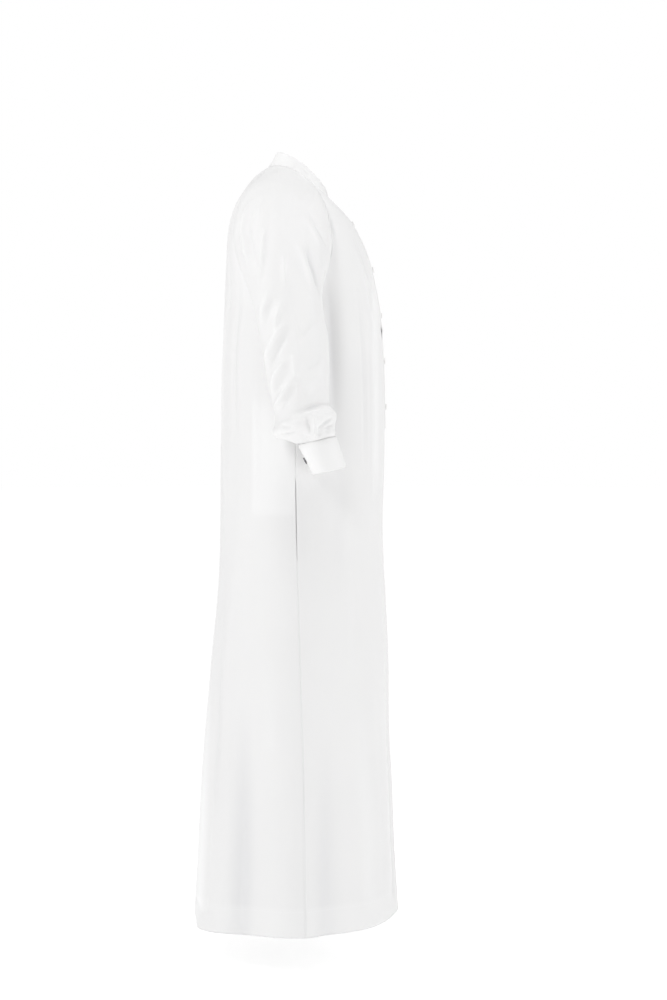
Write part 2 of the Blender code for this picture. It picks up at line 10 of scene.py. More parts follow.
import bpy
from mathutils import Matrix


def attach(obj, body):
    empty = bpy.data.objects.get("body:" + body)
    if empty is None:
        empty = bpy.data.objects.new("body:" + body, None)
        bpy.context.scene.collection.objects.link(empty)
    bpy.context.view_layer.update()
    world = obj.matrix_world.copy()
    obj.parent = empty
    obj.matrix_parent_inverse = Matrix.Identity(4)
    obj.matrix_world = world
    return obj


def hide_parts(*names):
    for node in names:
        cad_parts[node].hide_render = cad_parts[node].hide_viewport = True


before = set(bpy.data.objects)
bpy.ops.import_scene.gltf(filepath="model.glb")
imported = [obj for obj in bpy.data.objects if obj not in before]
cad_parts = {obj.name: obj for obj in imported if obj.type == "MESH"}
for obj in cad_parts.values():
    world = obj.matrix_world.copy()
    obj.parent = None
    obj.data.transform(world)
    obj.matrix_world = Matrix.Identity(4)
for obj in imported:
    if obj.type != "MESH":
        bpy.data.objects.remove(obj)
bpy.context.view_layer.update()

# %% Other modules
import math
from collections import namedtuple

import bmesh
import bpy
import numpy as np
from mathutils import Matrix, Vector, noise
from mathutils.kdtree import KDTree

# %% [markdown]
# ## The camera
#
# The robe is seen square from its wearer's right, from far away. A long lens keeps its upright lines
# nearly parallel, and the camera stands a metre above the floor and looks down very slightly. It is
# placed by its real distance and height, and needs no shift.

# %% Camera
FLOOR = -1.50
EYE_HEIGHT = 1.0
EYE = Vector((-4.80, -0.071, FLOOR + EYE_HEIGHT))
LENS_MM = 87.4
LOOKS_DOWN = math.radians(1.18)

bpy.ops.object.camera_add(location=EYE, rotation=(math.pi / 2 - LOOKS_DOWN, 0, -math.pi / 2))
camera = bpy.context.object
camera.name = "camera"
camera.data.lens = LENS_MM
bpy.context.scene.camera = camera
print("camera", round(EYE.length, 2), "m from the neck opening")

# %% [markdown]
# ## The studio
#
# White cloth on a white ground shows only by its soft shading, so the light decides everything. A
# pure white sky would wash the folds out, so it is seen at full strength but lights the robe with
# less. One broad lamp behind the arm gives most of the rest, and lays the arm's soft shadow on the
# chest. Weaker ones above, in front and behind keep the shoulder and both outlines bright.
# Blender's Standard view keeps white as white, where its default would turn it grey.

# %% Sky and lamps
SKY_SEEN = 1.0
SKY_LIGHT = 0.485
LAMPS_AIM_AT = Vector((0, 0, -0.6))
Lamp = namedtuple("Lamp", "name place size watts")
LAMPS = (
    Lamp("key", (-3.4, 2.2, 2.2), 1.3, 51),
    Lamp("top", (-0.8, 0.0, 3.2), 1.5, 36),
    Lamp("front", (-0.5, -4.0, 0.6), 1.5, 40),
    Lamp("back", (-0.5, 4.0, 0.6), 1.5, 17),
)

world = bpy.context.scene.world or bpy.data.worlds.new("sky")
bpy.context.scene.world = world
world.use_nodes = True
sky = next(node for node in world.node_tree.nodes if node.type == "BACKGROUND")
sky.inputs["Color"].default_value = (1, 1, 1, 1)
ray = world.node_tree.nodes.new("ShaderNodeLightPath")
strength = world.node_tree.nodes.new("ShaderNodeMapRange")
strength.inputs["To Min"].default_value = SKY_LIGHT
strength.inputs["To Max"].default_value = SKY_SEEN
world.node_tree.links.new(ray.outputs["Is Camera Ray"], strength.inputs["Value"])
world.node_tree.links.new(strength.outputs["Result"], sky.inputs["Strength"])
bpy.context.scene.view_settings.view_transform = "Standard"

for lamp in LAMPS:
    turn = (LAMPS_AIM_AT - Vector(lamp.place)).to_track_quat("-Z", "Y").to_euler()
    bpy.ops.object.light_add(type="AREA", location=lamp.place, rotation=turn)
    light = bpy.context.object
    light.name = lamp.name
    light.data.size = lamp.size
    light.data.energy = lamp.watts
print("lamps:", ", ".join(lamp.name for lamp in LAMPS))

# %% [markdown]
# ## Shader arithmetic
#
# A pattern is a sum and product of simple waves, and reads best as such. The small class below wraps
# a shader socket so that Python's own operators add the Math nodes, and a board adds any other node
# from its type, its settings and its inputs.


# %% A socket that can be added and multiplied
class Wire:
    def __init__(self, board, socket):
        self.board = board
        self.socket = socket

    def maths(self, operation, first, second=0.0):
        return self.board.add("ShaderNodeMath", {"operation": operation}, {0: first, 1: second})

    def __add__(self, other):
        return self.maths("ADD", self, other)

    def __radd__(self, other):
        return self.maths("ADD", other, self)

    def __sub__(self, other):
        return self.maths("SUBTRACT", self, other)

    def __rsub__(self, other):
        return self.maths("SUBTRACT", other, self)

    def __mul__(self, other):
        return self.maths("MULTIPLY", self, other)

    def __rmul__(self, other):
        return self.maths("MULTIPLY", other, self)

    def sine(self):
        return self.maths("SINE", self)

    def between(self, low, high):
        """0 below low and 1 above high, changing smoothly in between."""
        settings = {"interpolation_type": "SMOOTHSTEP"}
        return self.board.add("ShaderNodeMapRange", settings, {0: self, 1: low, 2: high})


# %% A board of nodes for one material
class Board:
    def __init__(self, name):
        self.material = bpy.data.materials.new(name)
        self.material.use_nodes = True
        self.tree = self.material.node_tree
        self.shader = self.tree.nodes["Principled BSDF"]

    def join(self, value, socket):
        if isinstance(value, Wire):
            self.tree.links.new(value.socket, socket)
        else:
            socket.default_value = value

    def add(self, kind, settings=None, inputs=None, output=0):
        node = self.tree.nodes.new(kind)
        for name, value in (settings or {}).items():
            setattr(node, name, value)
        for key, value in (inputs or {}).items():
            self.join(value, node.inputs[key])
        return Wire(self, node.outputs[output])

    def noise(self, place, scale, detail):
        return self.add("ShaderNodeTexNoise", {}, {"Vector": place, "Scale": scale, "Detail": detail})

    def attribute(self, name):
        """A value that each point of a mesh holds."""
        return self.add("ShaderNodeAttribute", {"attribute_name": name}, output=2)

    def mixed(self, share, first, second):
        """A colour between two others."""
        inputs = {0: share, 6: first, 7: second}
        return self.add("ShaderNodeMix", {"data_type": "RGBA"}, inputs, output=2)

    def finish(self, **sockets):
        for name, value in sockets.items():
            self.join(value, self.shader.inputs[name.replace("_", " ")])
        return self.material


# %% [markdown]
# ## The cloth
#
# Robes like this are cut from a fine, smooth, nearly matt shirting, white with the faintest cool
# grey. Its weave is far too fine to see from across a room, but it breaks up the light close to.
# So the weave is a bump of crossed waves in the cloth's own flat measure, which the UV map named
# cut holds in metres. Light passes through thin cloth: it looks whiter where a second layer lies
# behind, as in the hem, over the pocket bag and in the front's pressed folds. Crests get a painted
# highlight and hollows a painted shade. Seams pucker. Attributes on each piece say where all of that is.

# %% Cloth materials
THREAD_PITCH = 0.0007
WHITE = (0.833, 0.831, 0.830, 1)
DOUBLED_WHITE = (0.876, 0.876, 0.876, 1)
SEAM_WHITE = (0.801, 0.800, 0.802, 1)
STIFF_WHITE = (0.858, 0.857, 0.855, 1)
# A painted highlight for crests and a painted shade for hollows, set by the relief of the creases
CREST_PAINTED_HIGHLIGHT = (0.900, 0.900, 0.900, 1)
HOLLOW_PAINTED_SHADE = (0.762, 0.762, 0.768, 1)
MOTTLE = {"scale": 9.0, "from": 0.3, "to": 0.7, "greyer": 0.25}
SLUBS = {"scale": 900.0, "rougher": 0.06}
PUCKERS = {"scale": 120.0, "high": 0.0005, "greyer": 0.35}


def cloth_material(name, white, doubled, roughness, weave_depth):
    board = Board(name)
    cut = board.add("ShaderNodeUVMap", {"uv_map": "cut"})
    split = board.add("ShaderNodeSeparateXYZ", {}, {0: cut})
    along = Wire(board, split.socket.node.outputs["Y"])
    turn = math.tau / THREAD_PITCH
    weave = (split * turn).sine() * (along * turn).sine()
    layers, seam, relief = (board.attribute(name) for name in ("layers", "seam", "relief"))
    place = board.add("ShaderNodeTexCoord", output=3)
    mottle = board.noise(place, MOTTLE["scale"], 3.0)
    slubs = board.noise(cut, SLUBS["scale"], 2.0)
    puckers = board.noise(place, PUCKERS["scale"], 2.0)
    colour = board.mixed(mottle.between(MOTTLE["from"], MOTTLE["to"]) * MOTTLE["greyer"], white, SEAM_WHITE)
    # Crests get a painted highlight and hollows a painted shade, by how far the creases moved the cloth
    colour = board.mixed(relief.between(0.0, 1.0), colour, CREST_PAINTED_HIGHLIGHT)
    colour = board.mixed((0 - relief).between(0.0, 1.0), colour, HOLLOW_PAINTED_SHADE)
    colour = board.mixed(layers, colour, doubled)
    colour = board.mixed(seam * PUCKERS["greyer"], colour, SEAM_WHITE)
    height = weave * weave_depth + slubs * weave_depth + puckers * seam * PUCKERS["high"]
    bump = board.add("ShaderNodeBump", {}, {"Height": height, "Distance": 1.0, "Strength": 0.6})
    return board.finish(
        Base_Color=colour,
        Roughness=roughness + SLUBS["rougher"] * slubs,
        Normal=bump,
        Sheen_Weight=0.25,
        Sheen_Roughness=0.4,
        Specular_IOR_Level=0.25,
    )


cloth = cloth_material("white cloth", WHITE, DOUBLED_WHITE, 0.74, 0.00003)
stiff_cloth = cloth_material("stiff white cloth", STIFF_WHITE, STIFF_WHITE, 0.66, 0.00002)
print("cloth materials:", cloth.name, "and", stiff_cloth.name)

# %% [markdown]
# ## Thread, pearl and metal
#
# The sewing thread is a twisted yarn a shade whiter than the cloth. The buttons are pale shell with
# a slight cloudiness, and the cuff links are a dark, softly brushed metal.


# %% Thread, pearl and metal materials
THREAD_SHADES = ((0.93, 0.93, 0.93, 1), (0.86, 0.86, 0.88, 1))
PEARL_SHADES = ((0.92, 0.915, 0.90, 1), (0.86, 0.855, 0.85, 1))
METAL_SHADES = ((0.20, 0.20, 0.21, 1), (0.12, 0.12, 0.13, 1))


def plain_material(name, shades, scale, roughness, relief, **sockets):
    """A finish whose fine grain mixes a light and a dark shade and stands up by its relief."""
    board = Board(name)
    grain = board.noise(board.add("ShaderNodeTexCoord", output=3), scale, 3.0)
    bump = board.add("ShaderNodeBump", {}, {"Height": grain * relief, "Distance": 1.0})
    return board.finish(
        Base_Color=board.mixed(grain.between(0.35, 0.65), *shades),
        Roughness=roughness + 0.1 * grain,
        Normal=bump,
        **sockets,
    )


thread = plain_material("white thread", THREAD_SHADES, 2500, 0.6, 0.00004)
pearl = plain_material("pearl", PEARL_SHADES, 260, 0.22, 0.00001, Coat_Weight=0.4)
dark_metal = plain_material("dark metal", METAL_SHADES, 900, 0.28, 0.00001, Metallic=0.9)
print("hard finishes:", thread.name, pearl.name, dark_metal.name)

# %% [markdown]
# ## The floor
#
# A plain pale floor, far larger than the view. Part of its light is its own, so that it meets the
# white sky without a line and still shows the robe's soft shadow.

# %% Floor
FLOOR_RADIUS = 60.0
FLOOR_OWN_LIGHT = 0.74
FLOOR_WHITE = (0.55, 0.55, 0.55, 1)

bpy.ops.mesh.primitive_circle_add(vertices=96, radius=FLOOR_RADIUS, fill_type="NGON", location=(0, 0, FLOOR))
floor = bpy.context.object
floor.name = "floor"
pale_floor = Board("pale floor").finish(
    Base_Color=FLOOR_WHITE,
    Roughness=0.9,
    Specular_IOR_Level=0.0,
    Emission_Color=(1, 1, 1, 1),
    Emission_Strength=FLOOR_OWN_LIGHT,
)
floor.data.materials.append(pale_floor)
print("floor at", FLOOR, "m")

# %% [markdown]
# ## From a solid wall to a sheet of cloth
#
# Each cloth solid is a wall with an outside, an inside and a thin rim. Cloth is far thinner, so the
# outside alone is kept: the rim's faces are the ones with a very short edge, and once they are
# deleted the outside is the larger of two loose parts. Its triangles are joined into quads, and the
# sheet is unwrapped before it is subdivided, so that the unwrapped shape is the flat cut of the
# piece. A tube, such as a sleeve, is first slit along its underarm line, as its maker's seam is.
# Subdividing alone would shrink the curves a little, so the coarse points are first moved out by as
# much as a trial shows that they fall short.


# %% Small helpers
def pick(obj):
    """Makes one object the only selected and active one."""
    if bpy.context.mode != "OBJECT":
        bpy.ops.object.mode_set(mode="OBJECT")
    bpy.ops.object.select_all(action="DESELECT")
    obj.select_set(True)
    bpy.context.view_layer.objects.active = obj


def open_whole(obj):
    """Opens one object for editing, with all of it selected."""
    pick(obj)
    bpy.ops.object.mode_set(mode="EDIT")
    bpy.ops.mesh.select_all(action="SELECT")


def added(name, data):
    """A new object in the scene."""
    obj = bpy.data.objects.new(name, data)
    bpy.context.scene.collection.objects.link(obj)
    return obj


def apply_modifier(obj, kind, **settings):
    pick(obj)
    modifier = obj.modifiers.new(kind.lower(), kind)
    for name, value in settings.items():
        setattr(modifier, name, value)
    bpy.ops.object.modifier_apply(modifier=modifier.name)


def points_of(obj):
    points = np.empty(len(obj.data.vertices) * 3)
    obj.data.vertices.foreach_get("co", points)
    return points.reshape(-1, 3)


def normals_of(obj):
    normals = np.empty(len(obj.data.vertices) * 3)
    obj.data.vertices.foreach_get("normal", normals)
    return normals.reshape(-1, 3)


def move_points(obj, points):
    obj.data.vertices.foreach_set("co", np.asarray(points, float).ravel())
    obj.data.update()


def corners_of(layer):
    """The flat places in a UV map, one for each corner of each face."""
    corners = np.empty(len(layer.uv) * 2)
    layer.uv.foreach_get("vector", corners)
    return corners.reshape(-1, 2)


def ease(share):
    """0 below 0 and 1 above 1, changing smoothly in between."""
    share = np.clip(share, 0, 1)
    return share * share * (3 - 2 * share)


def bell(apart, width):
    """1 at no distance, and less in a bell curve to its sides."""
    return np.exp(-((apart / width) ** 2))


def run_along(line):
    """The distance along a line to each of its points."""
    return np.concatenate([[0], np.cumsum(np.linalg.norm(np.diff(line, axis=0), axis=1))])


def area_of(obj):
    return sum(face.area for face in obj.data.polygons)


# %% Keep the outside of a wall, in quads
WELD = 0.000001
RIM_EDGE = 0.0028


def outside_of(node, name):
    obj = added(name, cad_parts[node].data.copy())
    obj.data.materials.clear()
    bpy.context.tool_settings.mesh_select_mode = (False, False, True)
    open_whole(obj)
    bpy.ops.mesh.customdata_custom_splitnormals_clear()
    bpy.ops.mesh.remove_doubles(threshold=WELD)
    bpy.ops.mesh.select_all(action="DESELECT")
    shape = bmesh.from_edit_mesh(obj.data)
    for edge in shape.edges:
        if edge.calc_length() < RIM_EDGE:
            for face in edge.link_faces:
                face.select_set(True)
    bmesh.update_edit_mesh(obj.data)
    bpy.ops.mesh.delete(type="FACE")
    bpy.ops.mesh.select_all(action="SELECT")
    bpy.ops.mesh.separate(type="LOOSE")
    bpy.ops.object.mode_set(mode="OBJECT")
    parts = sorted(bpy.context.selected_objects, key=area_of)
    kept = parts.pop()
    for part in parts:
        bpy.data.objects.remove(part)
    kept.name = name
    open_whole(kept)
    bpy.ops.mesh.tris_convert_to_quads(face_threshold=math.pi, shape_threshold=math.pi)
    bpy.ops.object.mode_set(mode="OBJECT")
    bpy.ops.object.shade_smooth()
    return kept


# %% Slit a tube and unwrap a sheet to its flat cut
TURN_MOST = 30


def way_along(edge, vert):
    """The way from one end of an edge to the other."""
    return (edge.other_vert(vert).co - vert.co).normalized()


def slit_tube(obj):
    """Marks a seam straight down a tube, from the lowest point of its upper edge."""
    shape = bmesh.new()
    shape.from_mesh(obj.data)
    open_edges = [edge for edge in shape.edges if edge.is_boundary]
    top_edge = max(open_edges, key=lambda edge: edge.verts[0].co.z)
    loop = {top_edge.verts[0]}
    growing = [top_edge.verts[0]]
    while growing:
        vert = growing.pop()
        for edge in vert.link_edges:
            other = edge.other_vert(vert)
            if edge.is_boundary and other not in loop:
                loop.add(other)
                growing.append(other)
    vert = min(loop, key=lambda vert: vert.co.z)
    onward = [edge for edge in vert.link_edges if not edge.is_boundary]
    heading = Vector((0, 0, -1))
    while onward:
        edge = max(onward, key=lambda e: way_along(e, vert).dot(heading))
        edge.seam = True
        heading = way_along(edge, vert)
        vert = edge.other_vert(vert)
        before = set(edge.link_faces)
        onward = [e for e in vert.link_edges if not before & set(e.link_faces)]
    shape.to_mesh(obj.data)
    shape.free()


def unwrap(obj):
    """Gives the sheet a UV map named cut, in metres, in its smallest upright box, and returns that size."""
    open_whole(obj)
    bpy.ops.uv.unwrap(method="ANGLE_BASED", margin=0)
    bpy.ops.object.mode_set(mode="OBJECT")
    layer = obj.data.uv_layers.active
    layer.name = "cut"
    corners = corners_of(layer)
    heights = points_of(obj)[[corner.vertex_index for corner in obj.data.loops], 2]
    flat_area = 0
    for face in obj.data.polygons:
        u, v = corners[list(face.loop_indices)].T
        flat_area += abs(np.dot(u, np.roll(v, -1)) - np.dot(v, np.roll(u, -1))) / 2
    corners = (corners - corners.mean(axis=0)) * math.sqrt(area_of(obj) / flat_area)
    up = np.linalg.lstsq(corners, heights - heights.mean(), rcond=None)[0]
    up = up / np.linalg.norm(up)
    corners = corners @ np.array([[up[1], up[0]], [-up[0], up[1]]])
    turns = [np.array(Matrix.Rotation(math.radians(angle), 2)) for angle in range(-TURN_MOST, TURN_MOST + 1)]
    corners = min((corners @ turn for turn in turns), key=lambda turned: np.ptp(turned, axis=0).prod())
    layer.uv.foreach_set("vector", corners.ravel())
    return np.ptp(corners, axis=0)


# %% Smooth a sheet
SWELL_ROUNDS = 3
SWELL_LEVELS = 2


def subdivide(obj, levels):
    settings = {"levels": levels, "render_levels": levels, "boundary_smooth": "PRESERVE_CORNERS"}
    apply_modifier(obj, "SUBSURF", **settings)


def swell(obj):
    """Moves a coarse sheet's points out, so that subdividing it brings them back to their places."""
    goal = points_of(obj)
    aim = goal.copy()
    for _ in range(SWELL_ROUNDS):
        trial = obj.copy()
        trial.data = obj.data.copy()
        bpy.context.scene.collection.objects.link(trial)
        subdivide(trial, SWELL_LEVELS)
        aim += goal - points_of(trial)[: len(goal)]
        bpy.data.objects.remove(trial)
        move_points(obj, aim)


def sheet_of(node, levels, tube=False):
    """A smooth sheet on the outside of a cloth solid, which keeps the size of its flat cut."""
    name = f"{node}_cloth"
    obj = outside_of(node, name)
    if tube:
        slit_tube(obj)
    size = unwrap(obj)
    obj["cut_size"] = [float(v) for v in size]
    obj["cut_area"] = area_of(obj)
    quads = len(obj.data.polygons)
    swell(obj)
    subdivide(obj, levels)
    print(name, quads, "quads, cut", np.round(size, 3), "m, then", len(obj.data.polygons), "faces")
    return obj


# %% [markdown]
# ## The main pieces
#
# Two panels, front and back, run from the neck to the hem, and two sleeves are cut right up to the
# neck. Three levels of subdivision give faces a few millimetres wide, small enough for every crease.

# %% Panels and sleeves as smooth sheets
SIDES = ("right", "left")

panels = {face: sheet_of(f"{face}_panel", 3) for face in ("front", "back")}
sleeves = {side: sheet_of(f"sleeve_{side}", 3, tube=True) for side in SIDES}

# %% [markdown]
# ## Creases
#
# Cloth that hangs from a shoulder and bends at an elbow gathers into creases: soft troughs and
# ridges that are deepest in the middle and die away at their ends. Each row of the tables below is
# one of them: the width over which it fades, its depth, negative for a trough, and then a few points
# in a view of the robe. Those that run out at the hem keep their depth down to it. A ray along the
# view finds the cloth under each point. Those of the right side are repeated on the left, a little
# lower and softer, because no two sides hang alike.

# %% Crease tables
Crease = namedtuple("Crease", "width depth points at_hem")


def creases(*rows, at_hem=False):
    return tuple(Crease(width, depth, points, at_hem) for width, depth, *points in rows)


# Seen from the wearer's right: each point is a place along Y and a height
SLEEVE_CREASES = creases(
    (0.008, -0.009, (-0.020, -0.112), (-0.029, -0.145), (-0.038, -0.173), (-0.047, -0.210)),
    (0.012, 0.006, (-0.002, -0.112), (-0.011, -0.145), (-0.020, -0.176), (-0.030, -0.215)),
    (0.006, -0.005, (-0.022, -0.046), (-0.043, -0.084), (-0.060, -0.122)),
    (0.010, 0.004, (-0.012, -0.054), (-0.030, -0.090), (-0.046, -0.125)),
    (0.006, -0.005, (-0.053, -0.148), (-0.054, -0.172), (-0.052, -0.196)),
    (0.005, 0.0075, (0.090, -0.026), (0.098, -0.054), (0.101, -0.086), (0.096, -0.116), (0.084, -0.165)),
    (0.006, -0.004, (0.075, -0.028), (0.084, -0.060), (0.087, -0.088), (0.082, -0.120), (0.070, -0.165)),
    (0.005, 0.005, (0.059, -0.085), (0.062, -0.120), (0.064, -0.153), (0.070, -0.200)),
    (0.006, 0.004, (0.021, -0.130), (0.020, -0.160), (0.019, -0.195)),
    (0.006, 0.006, (0.048, -0.212), (0.058, -0.232), (0.064, -0.254)),
    (0.006, -0.003, (0.040, -0.226), (0.050, -0.246), (0.056, -0.268)),
    (0.006, 0.005, (0.020, -0.222), (0.034, -0.255), (0.038, -0.292)),
    (0.006, 0.008, (0.020, -0.268), (0.039, -0.296), (0.050, -0.316), (0.053, -0.340)),
    (0.005, -0.005, (0.012, -0.284), (0.027, -0.306), (0.039, -0.330), (0.044, -0.354)),
    (0.005, 0.007, (0.016, -0.336), (0.036, -0.361), (0.041, -0.384), (0.042, -0.398)),
    (0.005, -0.004, (0.012, -0.356), (0.029, -0.380), (0.034, -0.402)),
    (0.005, 0.007, (0.000, -0.362), (0.021, -0.393), (0.034, -0.413), (0.038, -0.426)),
    (0.005, -0.004, (-0.004, -0.378), (0.014, -0.404), (0.026, -0.424)),
    (0.006, 0.004, (0.004, -0.320), (0.002, -0.342), (0.000, -0.368)),
    (0.008, 0.003, (0.006, -0.222), (-0.003, -0.278), (-0.009, -0.352), (-0.005, -0.405)),
    (0.008, -0.003, (-0.040, -0.262), (-0.022, -0.282), (-0.006, -0.296)),
    (0.008, -0.003, (-0.052, -0.330), (-0.036, -0.346), (-0.018, -0.352)),
    (0.007, 0.004, (-0.048, -0.378), (-0.030, -0.386), (-0.016, -0.398)),
    # This broad, shallow hollow down the sleeve's front is there mostly to darken it with painted shade
    (0.014, -0.003, (-0.042, -0.180), (-0.048, -0.270), (-0.052, -0.370)),
)

# The roll above the cuff, seen the same way: its sharp crest, its pinch and the hollows beside it
ROLL_CREASES = creases(
    (0.0045, 0.006, (0.046, -0.4445), (0.004, -0.4400), (-0.031, -0.4300), (-0.066, -0.4200)),
    (0.0050, -0.003, (0.044, -0.4340), (0.004, -0.4295), (-0.031, -0.4195), (-0.062, -0.4100)),
    (0.0040, 0.007, (-0.0335, -0.434), (-0.0350, -0.450), (-0.0352, -0.464), (-0.0340, -0.476)),
    (0.0030, -0.004, (-0.0200, -0.438), (-0.0245, -0.450), (-0.0280, -0.460), (-0.0270, -0.470)),
    (0.0055, -0.006, (-0.0660, -0.440), (-0.0560, -0.450), (-0.0450, -0.461)),
    (0.0050, -0.005, (-0.0710, -0.452), (-0.0620, -0.458), (-0.0480, -0.464)),
    (0.0040, -0.004, (-0.0730, -0.464), (-0.0600, -0.467), (-0.0450, -0.469)),
    (0.0030, 0.004, (-0.0690, -0.432), (-0.0745, -0.450), (-0.0760, -0.468)),
    (0.0040, -0.004, (0.0290, -0.459), (0.0180, -0.457), (0.0070, -0.457)),
    (0.0040, 0.003, (0.0300, -0.451), (0.0170, -0.449), (0.0020, -0.448)),
    (0.0040, -0.004, (0.0230, -0.471), (0.0120, -0.469), (-0.0020, -0.466)),
    (0.0040, 0.004, (0.0420, -0.440), (0.0440, -0.454), (0.0400, -0.470)),
)

# Seen from the wearer's right, on the back and the front panels
BACK_SIDE_CREASES = creases(
    (0.024, 0.016, (0.166, -0.900), (0.170, -1.100), (0.178, -1.360)),
    (0.032, -0.012, (0.098, -0.860), (0.104, -1.100), (0.112, -1.400)),
    (0.024, 0.003, (0.040, -0.820), (0.044, -1.050), (0.050, -1.420)),
    at_hem=True,
) + creases(
    (0.009, -0.005, (0.112, -0.170), (0.120, -0.300), (0.118, -0.480)),
    (0.010, 0.005, (0.136, -0.200), (0.142, -0.330), (0.140, -0.600)),
    (0.010, 0.003, (0.080, -0.330), (0.077, -0.460), (0.076, -0.620)),
)
FRONT_SIDE_CREASES = creases(
    (0.006, -0.005, (-0.0405, 0.000), (-0.052, -0.024), (-0.064, -0.056), (-0.070, -0.090)),
) + creases(
    (0.028, -0.009, (-0.052, -0.980), (-0.058, -1.180), (-0.060, -1.400)),
    (0.028, 0.005, (-0.112, -0.860), (-0.126, -1.100), (-0.136, -1.340)),
    at_hem=True,
) + creases(
    (0.007, 0.006, (-0.136, -0.130), (-0.146, -0.300), (-0.148, -0.460), (-0.146, -0.580)),
    (0.008, -0.004, (-0.120, -0.200), (-0.130, -0.330), (-0.132, -0.540)),
    # This trough beside the arm carries painted shade for the arm's shadow on the chest, on top of the
    # lamp's
    (0.015, -0.0075, (-0.058, -0.170), (-0.067, -0.250), (-0.071, -0.340), (-0.075, -0.450)),
    # This broad, shallow trough lower on the front darkens it with painted shade where the hand's shadow
    # falls
    (0.030, -0.004, (-0.080, -0.470), (-0.088, -0.620), (-0.086, -0.780)),
    (0.012, 0.003, (-0.100, -0.620), (-0.104, -0.760), (-0.102, -0.900)),
)

# Seen from the front and from behind: each point is a place along X and a height
FRONT_CREASES = creases(
    (0.010, -0.005, (-0.088, -0.090), (-0.082, -0.140), (-0.056, -0.205)),
    (0.012, -0.005, (0.096, -0.100), (0.086, -0.160), (0.056, -0.240)),
    (0.009, 0.004, (-0.110, -0.130), (-0.104, -0.190), (-0.090, -0.260)),
) + creases(
    (0.020, 0.006, (-0.075, -0.520), (-0.085, -0.800), (-0.098, -1.330)),
    (0.018, -0.007, (0.048, -0.560), (0.052, -0.900), (0.060, -1.360)),
    (0.022, 0.008, (0.110, -0.600), (0.124, -0.900), (0.140, -1.330)),
    (0.016, -0.006, (-0.046, -0.700), (-0.050, -1.000), (-0.052, -1.360)),
    at_hem=True,
)
BACK_CREASES = creases(
    (0.010, -0.005, (-0.110, -0.080), (-0.094, -0.150), (-0.066, -0.240)),
    (0.012, -0.005, (0.112, -0.090), (0.098, -0.170), (0.074, -0.290)),
    (0.016, 0.005, (0.000, -0.110), (0.002, -0.300), (-0.004, -0.560)),
    (0.012, -0.004, (0.030, -0.200), (0.034, -0.340), (0.030, -0.520)),
) + creases(
    (0.020, -0.008, (0.030, -0.520), (0.040, -0.850), (0.048, -1.400)),
    (0.020, 0.008, (-0.050, -0.560), (-0.064, -0.900), (-0.080, -1.400)),
    (0.018, -0.007, (-0.104, -0.620), (-0.120, -0.900), (-0.136, -1.380)),
    (0.022, 0.007, (0.096, -0.640), (0.108, -0.950), (0.124, -1.390)),
    at_hem=True,
)


# %% Lay the creases on the cloth
LINE_STEP = 0.003
CREST = 1.7
CREASE_REACH = 3.0
GROWS_OVER = 0.8
ENDS_AT = (0.03, 0.97)
END_BLUNTNESS = 0.6
OTHER_SIDE_LOWER = 0.007
OTHER_SIDE_SOFTER = 0.85


def find_on(obj, view, points):
    """The places on a sheet that a view's rays meet first."""
    found = []
    for across, height in points:
        starts = {
            "right": (Vector((-1, across, height)), Vector((1, 0, 0))),
            "left": (Vector((1, across, height - OTHER_SIDE_LOWER)), Vector((-1, 0, 0))),
            "front": (Vector((across, -1, height)), Vector((0, 1, 0))),
            "back": (Vector((across, 1, height)), Vector((0, -1, 0))),
        }
        hit, place, _, _ = obj.ray_cast(*starts[view])
        if hit:
            found.append(place)
    return np.array(found)


def smooth_line(points):
    """Even points on a smooth curve through the given ones."""
    run = run_along(points)
    slopes = np.gradient(points, run, axis=0)
    at = np.linspace(0, run[-1], max(3, int(run[-1] / LINE_STEP) + 1))
    i = np.clip(np.searchsorted(run, at) - 1, 0, len(run) - 2)
    span = (run[i + 1] - run[i])[:, None]
    t = (at - run[i])[:, None] / span
    return (
        (2 * t**3 - 3 * t**2 + 1) * points[i]
        + (t**3 - 2 * t**2 + t) * slopes[i] * span
        + (3 * t**2 - 2 * t**3) * points[i + 1]
        + (t**3 - t**2) * slopes[i + 1] * span
    )


def crease_depth(places, line, width, depth, at_hem):
    """How far one crease moves each place: fully on its line, and less to its sides and ends."""
    moved = np.zeros(len(places))
    reach = CREASE_REACH * width
    near = np.all((places > line.min(axis=0) - reach) & (places < line.max(axis=0) + reach), axis=1)
    if near.any():
        apart = np.linalg.norm(places[near][:, None] - line[None], axis=2)
        along = apart.argmin(axis=1) / (len(line) - 1)
        if at_hem:
            fade = ease(along / GROWS_OVER)
        else:
            fade = np.sin(math.pi * np.clip(along, *ENDS_AT)) ** END_BLUNTNESS
        moved[near] = depth * np.exp(-((apart.min(axis=1) / width) ** CREST)) * fade
    return moved


def lay(obj, view, creases):
    """The creases of one table as lines on a sheet, each with its width, depth and kind of end."""
    softer = OTHER_SIDE_SOFTER if view == "left" else 1
    found = [(find_on(obj, view, crease.points), crease) for crease in creases]
    return [(smooth_line(line), c.width, c.depth * softer, c.at_hem) for line, c in found if len(line) > 1]


def unevenness(places, sizes, depth):
    """The slight waviness of hanging cloth, longer up and down than across."""
    scaled = places / np.array(sizes)
    return depth * np.array([noise.noise(Vector(point)) for point in scaled])


# %% Find all the creases
laid = []
for view in SIDES:
    laid += lay(panels["back"], view, BACK_SIDE_CREASES)
    laid += lay(panels["front"], view, FRONT_SIDE_CREASES)
    laid += lay(sleeves[view], view, SLEEVE_CREASES + ROLL_CREASES)
laid += lay(panels["front"], "front", FRONT_CREASES)
laid += lay(panels["back"], "back", BACK_CREASES)
print(len(laid), "creases")

# %% How far the panels move
STRIP_HALF = 0.022
CLOTH_WAVES = (0.050, 0.060, 0.300)
CLOTH_WAVE_DEPTH = 0.0020
# How far the cloth must move for the full painted highlight on a crest or painted shade in a hollow
RELIEF = 0.012


